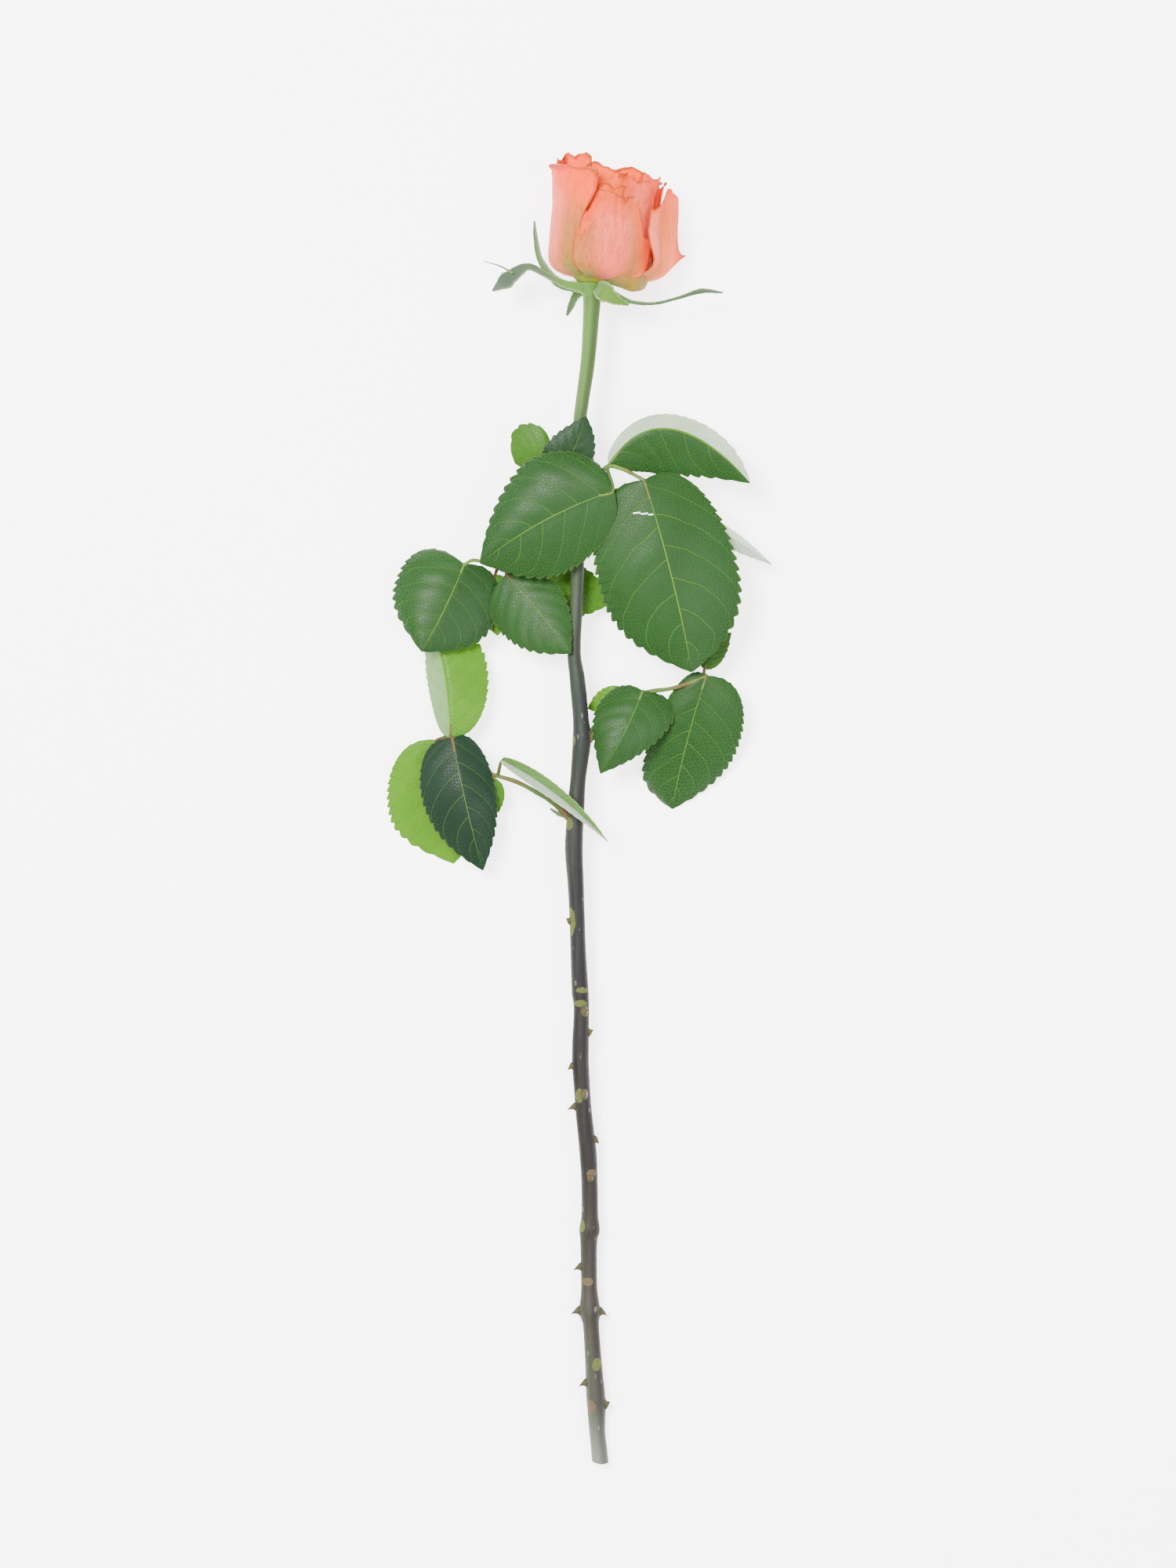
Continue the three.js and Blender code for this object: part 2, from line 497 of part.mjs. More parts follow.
// How far round the petal reaches, with its narrow claw and its wider rim
function petalAngle(p, u, v, s) {
  const side = u > 0 ? 1 : 0;
  const width = p.claw[side] + (1 - p.claw[side]) * smooth(s / p.spread);
  return u * rad(p.half[side]) * width * (1 + p.flare[side] * smooth((v - FLARE.from) / FLARE.over));
}

// The petal's surface: u runs from one side to the other, -1 to 1, and v from root to rim, 0 to 1
function petalPoint(p, u, v, phase) {
  const s = v * (1 - p.fall[u > 0 ? 1 : 0] * smooth((Math.abs(u) - p.shoulder[u > 0 ? 1 : 0]) / p.ramp));
  const roll = eachSide(p.roll, u);
  const uneven = 1 - CURL_WAVE.size + wave(CURL_WAVE, u, phase);
  const turned = rad(eachSide(p.curl, u)) * uneven * Math.max(0, (v - ROLL_FROM) / (1 - ROLL_FROM));
  const out = petalOut(p, u, v, s, phase) + roll * (1 - Math.cos(turned));
  const height = petalHeight(p, u, v, s, phase) + roll * Math.sin(turned);
  const curve = out * p.flat;
  const angle = petalAngle(p, u, v, s) / p.flat;
  return round(height, rad(p.at), out - curve * (1 - Math.cos(angle)), curve * Math.sin(angle));
}

function petal(size, { columns, stations }, phase) {
  const p = { ...PETAL, ...size };
  const points = [];
  const faces = [];
  for (const v of stations) {
    for (let i = 0; i <= columns; i += 1) {
      const point = petalPoint(p, (2 * i) / columns - 1, v, phase);
      point.z = Math.max(point.z, FLAT_REST);
      points.push(point);
    }
  }
  for (let j = 0; j < stations.length - 1; j += 1) {
    for (let i = 0; i < columns; i += 1) {
      const a = j * (columns + 1) + i;
      const [b, c, d] = [a + 1, a + columns + 2, a + columns + 1];
      faces.push([a, b, c], [a, c, d]);
    }
  }
  return thicken(points, faces, BLADE);
}

// A solid of revolution on the bloom's axis, from pairs of radius and height
function turnedOnAxis(profile, sides) {
  const geometry = new THREE.LatheGeometry(profile.map(([r, h]) => new THREE.Vector2(r, h)), sides);
  const basis = new THREE.Matrix4().makeBasis(SIDE, AXIS, UP);
  return geometry.applyMatrix4(basis.setPosition(BLOOM_ROOT));
}

// The petals of one ring
function whorlPetals(whorl, ring) {
  return Array.from({ length: whorl.count }, (_, i) => {
    const at = whorl.start + i * GOLDEN;
    const uneven = 2 * draw(10 * ring + i) - 1;
    const size = {
      at,
      half: [whorl.half, whorl.half],
      belly: whorl.belly - i * whorl.step,
      rim: whorl.rim - i * whorl.step,
      tall: whorl.tall + uneven - whorl.lean * Math.sin(rad(at)),
      roll: [whorl.roll, whorl.roll],
      curl: [whorl.curl, whorl.curl],
      root: whorl.root,
      fall: [0.2, 0.2],
    };
    return petal(size, WHORL_CELLS, 3 + i * 2.1 + ring);
  });
}

function bloom() {
  const claw = turnedOnAxis([[0, 0], [CLAW.radius, 0], [CLAW.top, CLAW.tall], [0, CLAW.tall]], CLAW_SIDES);
  const bud = turnedOnAxis(BUD_PROFILE.map(([r, h]) => [r * BUD.radius, h * BUD.tall]), BUD_SIDES);
  const guards = GUARDS.map((size, i) => petal({ ...size, root: GUARD_ROOT }, GUARD_CELLS, i * 1.7));
  return fuse([claw, bud, ...guards, ...WHORLS.flatMap(whorlPetals)]).subtract(floorBlock());
}

// Calyx

function sepal({ line, half, slope }) {
  const curve = new THREE.CatmullRomCurve3(line.map(vec));
  const cells = (line.length - 1) * 2;
  const points = [];
  const faces = [];
  for (let j = 0; j <= cells; j += 1) {
    const t = j / cells;
    const centre = curve.getPoint(t);
    const along = curve.getTangent(t);
    const left = new THREE.Vector3().crossVectors(UP, along).normalize();
    const lift = new THREE.Vector3().crossVectors(along, left);
    const at = t * (half.length - 1);
    const k = Math.min(Math.floor(at), half.length - 2);
    const wide = half[k] + (half[k + 1] - half[k]) * (at - k);
    for (const side of [-1, 0, 1]) {
      points.push(centre.clone().addScaledVector(left, side * wide * Math.cos(rad(slope)))
        .addScaledVector(lift, side * wide * Math.sin(rad(slope)) - (side === 0 ? SEPAL_DIP * wide : 0)));
    }
  }
  for (let j = 0; j < cells; j += 1) {
    for (const i of [0, 1]) {
      const a = j * 3 + i;
      faces.push([a, a + 3, a + 4], [a, a + 4, a + 1]);
    }
  }
  return thicken(points, faces, BLADE);
}

function calyx() {
  const whole = fuse([turnedOnAxis(RECEPTACLE, CLAW_SIDES), ...SEPALS.map(sepal)]);
  return largest(whole.subtract(toSolid(turnedOnAxis(CLAW_ROOM, CLAW_SIDES))).subtract(stemSleeve()));
}

// Leaves

// A leaflet's midrib: a curve through its bow and arch
function midrib(spec) {
  const base = vec(spec.base);
  const tip = vec(spec.tip);
  const left = new THREE.Vector3().crossVectors(UP, new THREE.Vector3().subVectors(tip, base)).normalize();
  const middle = base.clone().lerp(tip, spec.peak ?? 0.5)
    .addScaledVector(left, 2 * spec.bow)
    .addScaledVector(UP, 2 * spec.arch);
  return new THREE.QuadraticBezierCurve3(base, middle, tip);
}

// How wide the half blade is along the midrib, as a part of its width: round at its base, then pointed
function outline(s, widest, tip) {
  const below = clamp((widest - s) / widest, 0, 1);
  const above = clamp((s - widest) / (1 - widest), 0, 1);
  return Math.sqrt(1 - below ** 2) * (1 - above ** tip);
}

// A point on the blade: s along the midrib, side 1 on the left and -1 on the right, t from rib to edge
function bladePoint(curve, spec, s, side, t, notch) {
  const along = curve.getTangent(s);
  const left = new THREE.Vector3().crossVectors(UP, along).normalize();
  const lift = new THREE.Vector3().crossVectors(along, left);
  const [wide, slope, curl, widest, tip] = side > 0 ? spec.left : spec.right;
  const fullness = outline(s, widest, tip);
  const reach = wide * fullness * (t - notch);
  const back = (spec.lobe ?? LOBE) * curve.getLength() * t * (1 - s) ** 3 * fullness;
  const angle = rad(slope + 0.5 * curl * t);
  const wave = BLADE_WAVE.size * Math.sin(BLADE_WAVE.waves * s + side + spec.base[0]) * t * t;
  return curve.getPoint(s)
    .addScaledVector(along, -back)
    .addScaledVector(left, side * reach * Math.cos(angle))
    .addScaledVector(lift, reach * Math.sin(angle) + wave);
}

function leaflet(spec) {
  const curve = midrib(spec);
  const points = [];
  const faces = [];
  const add = (point) => points.push(point) - 1;
  const cells = spec.small ? RIB_CELLS.small : RIB_CELLS.usual;
  const steps = cells * EDGE_STEPS;
  const rib = [];
  for (let k = 0; k <= cells; k += 1) rib.push(add(curve.getPoint((k / cells) ** CROWDING)));
  for (const side of [1, -1]) {
    const blade = (far, t, notch) => add(bladePoint(curve, spec, far ** CROWDING, side, t, notch));
    const middle = rib.map((index, k) => (k > 0 && k < cells ? blade(k / cells, 0.5, 0) : index));
    const edge = [rib[0]];
    for (let k = 1; k < steps; k += 1) {
      const pointed = k % 2 === 1;
      edge.push(pointed ? blade((k + TOOTH_LEAN) / steps, 1, 0) : blade(k / steps, 1, TOOTH));
    }
    edge.push(rib[cells]);
    const face = (a, b, c) => {
      if (a === b || b === c || c === a) return;
      faces.push(side > 0 ? [a, c, b] : [a, b, c]);
    };
    for (let k = 0; k < cells; k += 1) {
      const [e0, e1, e2, e3] = edge.slice(EDGE_STEPS * k, EDGE_STEPS * (k + 1) + 1);
      face(rib[k], middle[k + 1], rib[k + 1]);
      face(rib[k], middle[k], middle[k + 1]);
      face(middle[k], e0, e1);
      face(middle[k], e1, middle[k + 1]);
      face(middle[k + 1], e1, e2);
      face(middle[k + 1], e2, e3);
    }
  }
  return thicken(points, faces, BLADE);
}

// The leaflet's own short stalk, from the main stalk to a little way up its midrib
function leafletStalk(spec, stalkEnd) {
  const inside = midrib(spec).getPoint(LEAFLET_STALK.into);
  const start = vec(spec.stalk ?? stalkEnd);
  return tube([start, vec(spec.base), inside], LEAFLET_STALK.radii, STALK_SIDES);
}

function mainStalk(rows) {
  const curve = new THREE.CatmullRomCurve3(rows.map(vec));
  const cells = (rows.length - 1) * 2;
  const centres = [];
  const radii = [];
  for (let i = 0; i <= cells; i += 1) {
    centres.push(curve.getPoint(i / cells));
    const at = (i / cells) * (rows.length - 1);
    const k = Math.min(Math.floor(at), rows.length - 2);
    radii.push(rows[k][3] + (rows[k + 1][3] - rows[k][3]) * (at - k));
  }
  return tube(centres, radii, STALK_SIDES);
}

// Two narrow stipules along the foot of the main stalk
function stipules(rows) {
  const curve = new THREE.CatmullRomCurve3(rows.map(vec));
  const length = curve.getLength();
  return [1, -1].map((side) => {
    const base = curve.getPoint(STIPULE.from / length);
    const tip = curve.getPoint(STIPULE.long / length);
    const left = new THREE.Vector3().crossVectors(UP, curve.getTangent(0.1)).normalize();
    const end = tip.clone().addScaledVector(left, side * STIPULE.spread);
    const line = [base, base.clone().lerp(end, 0.5).addScaledVector(left, side * 0.5), end];
    return sepal({ line: line.map((p) => p.toArray()), half: STIPULE.half, slope: 0 });
  });
}

function leaf({ stalk, leaflets }) {
  const end = stalk[stalk.length - 1].slice(0, 3);
  const parts = [mainStalk(stalk), ...stipules(stalk)];
  for (const spec of leaflets) parts.push(leaflet(spec), leafletStalk(spec, end));
  return largest(fuse(parts).subtract(stemSleeve()).subtract(floorBlock()));
}

// The flower

const flower = new THREE.Group();
flower.add(piece('stem', stem(), 0x6f6a5c, 0.6));
flower.add(piece('calyx', calyx(), 0x8aa35a, 0.6));
flower.add(piece('bloom', bloom(), 0xee9a80, 0.65));
for (const [name, shape] of Object.entries(LEAVES)) flower.add(piece(name, leaf(shape), 0x4f8048, 0.5));

export default flower;
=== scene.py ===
# A cut rose lying on a pale floor and seen from straight above. Lengths are millimetres until a mesh is made.

import math

import bpy
import numpy as np
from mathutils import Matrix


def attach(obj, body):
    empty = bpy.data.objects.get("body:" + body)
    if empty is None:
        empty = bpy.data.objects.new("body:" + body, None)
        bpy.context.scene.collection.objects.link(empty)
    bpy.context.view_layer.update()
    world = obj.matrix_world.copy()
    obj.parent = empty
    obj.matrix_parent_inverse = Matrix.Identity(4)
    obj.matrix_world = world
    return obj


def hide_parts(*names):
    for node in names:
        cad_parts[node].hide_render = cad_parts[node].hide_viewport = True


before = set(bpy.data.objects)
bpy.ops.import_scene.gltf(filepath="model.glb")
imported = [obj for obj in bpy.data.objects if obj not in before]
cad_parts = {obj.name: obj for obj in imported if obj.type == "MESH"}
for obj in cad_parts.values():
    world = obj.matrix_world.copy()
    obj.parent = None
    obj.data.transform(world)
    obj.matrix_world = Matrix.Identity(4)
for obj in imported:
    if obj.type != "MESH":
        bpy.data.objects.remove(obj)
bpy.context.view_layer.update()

MM = 0.001
UP = np.array([0.0, 0.0, 1.0])

# Camera, floor and light

CAMERA_AT = (2.7, 11.25, 1620.0)
CAMERA_LENS = 96.0
SENSOR_WIDTH = 36.0
FLOOR_SIDE = 6.0
WORLD_LIGHT = 1.5
KEY_LIGHT = {"at": (-0.5, 0.42, 1.55), "size": 0.6, "watts": 84.0}
SOFT_LIGHT = {"at": (0.8, -0.2, 1.6), "size": 1.0, "watts": 28.0}

# Stem

# Centre line from the neck to the cut end: x, y, height of the axis, diameter
STEM = np.array([
    [4.3, 198.0, 22.6, 6.9], [3.9, 190, 22.4, 6.3], [2.7, 173.2, 21.8, 5.6], [0.6, 158, 21.2, 5.2],
    [-0.6, 148, 20.8, 5.0], [-1.2, 131, 20.0, 5.0], [-1.4, 114.5, 19.3, 5.4], [-1.2, 97.7, 18.6, 5.0],
    [-1.9, 78, 17.8, 5.0], [-2.6, 61.7, 17.1, 5.2], [-1.4, 51.5, 16.6, 6.0], [0, 36, 16.0, 6.2],
    [0.3, 27.5, 15.6, 7.2], [-1.0, 14, 15.1, 6.0], [-1.9, 2.5, 14.6, 6.6], [-2.7, -13.4, 13.9, 6.9],
    [-1.9, -29.4, 13.2, 6.2], [-1.1, -52.4, 12.2, 6.0], [-0.4, -68, 11.5, 6.6], [0.1, -75.6, 11.2, 6.0],
    [-0.3, -93.8, 10.5, 6.6], [0.4, -107, 9.9, 6.3], [1.1, -116.2, 9.5, 6.3], [2.7, -131.3, 8.9, 6.7],
    [3.3, -144, 8.3, 6.3], [3.4, -155, 7.9, 6.6], [3.3, -160.5, 7.7, 8.0], [3.0, -166, 7.4, 6.6],
    [3.2, -182.6, 6.7, 6.3], [3.5, -192, 6.3, 8.2], [3.9, -197.5, 6.0, 6.4], [4.6, -208, 5.4, 6.3],
    [5.2, -217, 5.0, 6.8], [5.9, -227.5, 4.5, 7.4], [6.3, -238.7, 3.6, 6.2], [7.0, -246, 3.1, 6.3],
    [7.5, -251.4, 3.1, 6.3],
])
STEM_ROWS = 620
STEM_SIDES = 36
CUT_RINGS = 10
# Metres from the origin to the foot and from the foot to the neck, for the bark's tones
FOOT_AT = 0.252
STEM_LONG = 0.45
BARK_TONES = [
    (0.0, "5e6458"), (0.05, "34362c"), (0.18, "28261f"), (0.35, "0c0b0a"), (0.5, "161a17"),
    (0.66, "202822"), (0.76, "2c3826"), (0.87, "3c5426"), (1.0, "466826"),
]
# The cut face from its middle outwards
CUT_TONES = [
    (0.0, "e4e0c4"), (0.34, "dcd8b4"), (0.42, "b9bd8a"), (0.8, "c9cba2"), (0.93, "6f7a4c"), (1.0, "6a6a58"),
]
CUT_SLOPE = -0.24            # how far the cut end drops, in mm along the stem for each mm across it
CUT_MIDDLE = -251.4

# Prickles and buds: place along the stem, turn round it from the top towards +X, length, root width
PRICKLES = [
    (-113, -85, 3.2, 3.6), (-175, -85, 3.0, 3.8), (-192, -88, 3.4, 4.4), (-192.5, 88, 2.6, 4.2),
    (-220, -80, 3.0, 4.0), (-97.5, -80, 1.9, 4.0), (-126, 80, 1.7, 4.2),
]
BUDS = [
    (-76, 25, 3.4, 5.0), (-108, 15, 3.0, 5.0), (-41, -75, 1.4, 4.0), (-84, 85, 1.9, 4.4),
    (-140, 10, 1.2, 4.4), (-228, 82, 1.8, 5.0),
]
THORN_CELLS = 12
THORN_SUNK = 1.6             # how deep its root is sunk in the stem
PRICKLE_HOOK = 1.4           # how far the point bends towards the cut end
BUD_HOOK = -0.8
# Scars on the skin: x, y, width across the stem, length along it, how yellow they are (0 tan, 1 yellow-green)
SCARS = [
    (-3.8, -41.5, 2.0, 6.4, 1.0), (0.3, -68.0, 3.2, 1.2, 1.0), (-0.2, -73.0, 3.0, 1.6, 0.9),
    (-0.6, -108.5, 1.8, 3.4, 0.9), (4.0, -138.6, 2.2, 2.0, 0.1), (0.2, -159.0, 1.8, 3.0, 1.0),
    (2.6, -180.5, 2.6, 2.0, 0.2), (6.0, -212.5, 2.0, 3.2, 1.0), (3.6, -229.0, 2.4, 3.2, 0.0),
    (-3.4, 28.0, 1.6, 3.0, 0.8), (-4.6, -4.0, 1.8, 3.0, 0.8),
]

# Bloom

BLOOM_ROOT = np.array([4.4, 202.4, 22.6])
BLOOM_LEAN = math.radians(6.5)        # from +Y towards +X
GUARD_ROOT = (3.6, 1.2)               # distance from the axis and height of the outer petals' roots
SWELL_TO = 0.42
ROLL_FROM = 0.84
PETAL_THICKNESS = 0.4
REST_HEIGHT = 0.25

# Outer petals. Pairs hold a value for the left side and one for the right.
# at: direction round the axis, 0 faces up and 90 faces +X. half: its spread to each side.
# belly and rim: distance from the axis. tall: length along the axis.
# roll and curl: radius of the curled rim and how far it turns. spiral: how far the +X side stands outside.
# fall: how much lower each corner is, from shoulder outwards and over the width of ramp.
# slant: how much lower the +X side is. sag: how far its belly hangs at its left, middle and right.
# claw: width of its root as a part of its width, which is full at spread. flare: how much wider its rim is.
# crease: where a ridge runs and its height. corner: how far its right corner stands out.
# flat: how much flatter than round its section is. flute: how far its rim waves.
# notch: where the rim is nicked, how wide and how deep.
# foot: how far the green of the root is drawn back at its left, middle and right.
# reach: how far up the scale of tones its rim gets.
# warm: tones from left to right, evenly spaced: pale and pink below 0, cream at 0 and orange above.
PETAL = dict(
    slant=0, sag=(0, 0, 0), claw=(0.7, 0.7), spread=0.6, flare=(0, 0), shoulder=(0.2, 0.2), ramp=0.8,
    crease=(0, 0), corner=0, fall=(0.1, 0.1), spiral=1.0, flat=1.06, notch=(0, 1, 0), flute=0.5,
    foot=(0, 0, 0), reach=1,
)
GUARD_CELLS = (56, 44)
GUARD_PHASE = 1.7             # how differently the rims of two neighbours wave
GUARDS = [
    dict(at=-70, half=(52, 50), belly=18.2, rim=20.2, tall=41.0, roll=(0.8, 3.0), curl=(60, 190), spiral=0.6,
         fall=(0.06, 0.13), sag=(3, 3, 2), claw=(0.8, 0.86), spread=0.4, flare=(0, 0.3),
         warm=(-1.6, -1.6, -1.4, -1.4, -0.8, -0.1, 0.1), foot=(0.15, 0.1, -0.06)),
    dict(at=22, half=(49, 53), belly=19.8, rim=17.6, tall=33.0, roll=(0.8, 0.9), curl=(40, 130), spiral=1.1,
         fall=(0.34, 0.57), shoulder=(0.45, 0.34), ramp=0.32, sag=(3, 4, 4.5), claw=(0.8, 0.4), spread=0.32,
         notch=(0.12, 0.03, 3.6), warm=(0.3, -0.3, -0.8, -1.0, -0.6, 0.2, 1.1), foot=(-0.1, 0.14, 0.1)),
    dict(at=4, half=(24, 22), belly=17.0, rim=16.4, tall=35.4, roll=(1.2, 0.9), curl=(120, 120),
         warm=(1.2, 0.8, 1.4)),
    dict(at=46, half=(22, 50), belly=18.0, rim=19.2, tall=39.4, roll=(0.8, 0.9), curl=(40, 80), spiral=1.8,
         fall=(0.16, 0.45), shoulder=(0.1, 0.0), ramp=1.0, claw=(0.9, 0.8), flute=0.2,
         warm=(-1.0, -1.4, -1.3)),
    dict(at=60, half=(38, 42), belly=19.0, rim=17.6, tall=19.0, roll=(0.8, 0.8), curl=(40, 40), spiral=2.8,
         fall=(0.3, 0.3), sag=(0, 7, 5), claw=(0.9, 0.78), flute=0.2, warm=(-0.7, -0.1, -0.3), reach=0.5),
    dict(at=78, half=(30, 30), belly=18.8, rim=20.6, tall=42.0, roll=(0.8, 1.2), curl=(60, 110),
         warm=(-1.4, -0.7, 1.2)),
    # The petal at 88 is pale pink on its left: partly its own colour, partly a painted highlight.
    dict(at=88, half=(28, 30), belly=27.4, rim=27.8, tall=38.0, roll=(0.8, 0.8), curl=(40, 60), spiral=6.0,
         fall=(0.34, 0.62), shoulder=(0.1, -0.05), ramp=0.8, sag=(0, 2, 2), crease=(-0.7, 1.4), corner=5.0,
         flute=0.2, warm=(-2, -1.8, 0.4, 2, 1.2, 2, 1.5, 2, 1.7)),
    dict(at=138, half=(52, 50), belly=22.4, rim=22.6, tall=41.0, roll=(1.2, 1.4), curl=(100, 120), spiral=0.8,
         sag=(2, 2, 2), warm=(0.8, 0.4, 0.0)),
    dict(at=-146, half=(54, 46), belly=19.6, rim=20.0, tall=45.0, roll=(1.2, 0.8), curl=(100, 60),
         spiral=-1.0, fall=(0.2, 0.0), slant=-2.5, sag=(2, 2, 2), warm=(0.0, 0.2, 0.6)),
]
# Rings of middle and inner petals, placed by the golden angle from start. step: how much further in each
# next one stands. lean: how much lower they are on the +X side. root: its distance from the axis and height.
WHORLS = [
    dict(count=6, start=-120, belly=16.2, step=0.5, rim=15.8, tall=44.0, lean=2.6, half=50, roll=1.6,
         curl=130, root=(5.0, 4.0)),
    dict(count=5, start=30, belly=11.8, step=0.5, rim=10.8, tall=42.6, lean=1.8, half=62, roll=1.2, curl=110,
         root=(5.0, 8.0)),
    dict(count=4, start=95, belly=8.6, step=0.5, rim=7.2, tall=41.0, lean=1.2, half=78, roll=0.8, curl=80,
         root=(4.0, 12.0)),
    dict(count=3, start=10, belly=5.4, step=0.8, rim=4.0, tall=39.5, lean=0.6, half=100, roll=0.3, curl=40,
         root=(2.0, 14.0)),
]
# The closed green foot inside the outer petals, as radius and height on the bloom's axis
FOOT = [(0, -0.2), (5.0, -0.2), (8.6, 2.4), (11.5, 4.6), (13.5, 7.5), (12, 10), (0, 10)]
FOOT_TONE = 0.04              # its place on the scale of tones
GOLDEN = 137.5
WHORL_CELLS = (40, 30)
WHORL_PHASE = 2.1
TURNED_ROWS = 24
TURNED_SIDES = 32
# Petal tones from root to rim
PETAL_TONES = {
    "cream": [(0.0, "6c8414"), (0.1, "848022"), (0.24, "a86e28"), (0.5, "b86c34"),
              (0.68, "e06422"), (0.85, "fc4c14"), (1.0, "ee480c")],
    "pink": [(0.0, "7c8c2c"), (0.1, "cc7240"), (0.24, "ea6a4e"), (0.6, "fc6a58"),
             (0.78, "fc4820"), (1.0, "f0400c")],
    # The pale tones also paint the highlight on the left of the petal at 88.
    "pale": [(0.0, "8c9838"), (0.1, "c87434"), (0.3, "ec7844"), (0.5, "ff8470"),
             (0.8, "ff8270"), (1.0, "fc5c30")],
    "hot": [(0.0, "98742c"), (0.15, "f0761c"), (0.4, "ff6e12"), (0.8, "ff5c0e"), (1.0, "f0500e")],
}

# Calyx

# Sepals: centre-line points, half widths along them, how steeply the blade lies and how fresh its green is
SEPALS = [
    dict(line=[[1.6, 200.6, 23.4], [-6.5, 202.2, 24.5], [-13.5, 205.5, 25.5], [-20.5, 208.5, 25.5],
               [-28.5, 203.5, 24.0], [-33.8, 199.6, 23.0]],
         half=[2.4, 1.5, 1.1, 1.6, 3.6, 0.4], slope=20, fresh=0.0),
    dict(line=[[1.8, 200.8, 21.0], [-8.5, 203.6, 15.0], [-15.4, 212, 13.5], [-17.4, 220.5, 16.0],
               [-17.9, 226.8, 18.5]],
         half=[2.6, 2.0, 1.4, 1.0, 0.4], slope=-35, fresh=0.4),
    dict(line=[[2.6, 200.6, 20.6], [-1.6, 199.0, 16.5], [-4.0, 194.4, 14.8], [-5.4, 191.0, 14.5]],
         half=[2.4, 1.6, 1.2, 0.4], slope=0, fresh=0.3),
    dict(line=[[5.4, 200.8, 26.0], [7.4, 199.4, 31.6], [9.4, 197.6, 33.4], [13.2, 195.2, 32.4],
               [18.2, 193.4, 30.5]],
         half=[2.0, 3.4, 3.8, 2.0, 0.4], slope=8, fresh=1.0),
    dict(line=[[7.4, 200.6, 22.4], [12.6, 198.4, 22.0], [19.2, 195.4, 22.5], [28, 194.6, 24.0],
               [37, 196.6, 25.0], [46, 199.2, 25.5], [54.2, 198.6, 25.0]],
         half=[2.2, 1.3, 0.8, 0.6, 0.6, 1.1, 0.3], slope=30, fresh=0.2),
]
SEPAL_HAIR = [[-26.0, 206.0, 25.0], [-30.5, 208.6, 25.6], [-37.2, 210.6, 26.0]]
# The green cup under the petals, as radius and height on the bloom's axis
RECEPTACLE = [(0, -5.4), (3.0, -5.4), (3.5, -3.9), (3.9, -2.4), (5.0, -1.0), (5.2, -0.3)]
SEPAL_THICKNESS = 0.45
SEPAL_JAG = 0.08
SEPAL_COLUMNS = 13
SEPAL_TONES = [
    (0.0, "3c6414"), (0.12, "4c7818"), (0.25, "4c7420"), (0.5, "3a5430"), (0.85, "283c2e"), (1.0, "3e5040"),
]
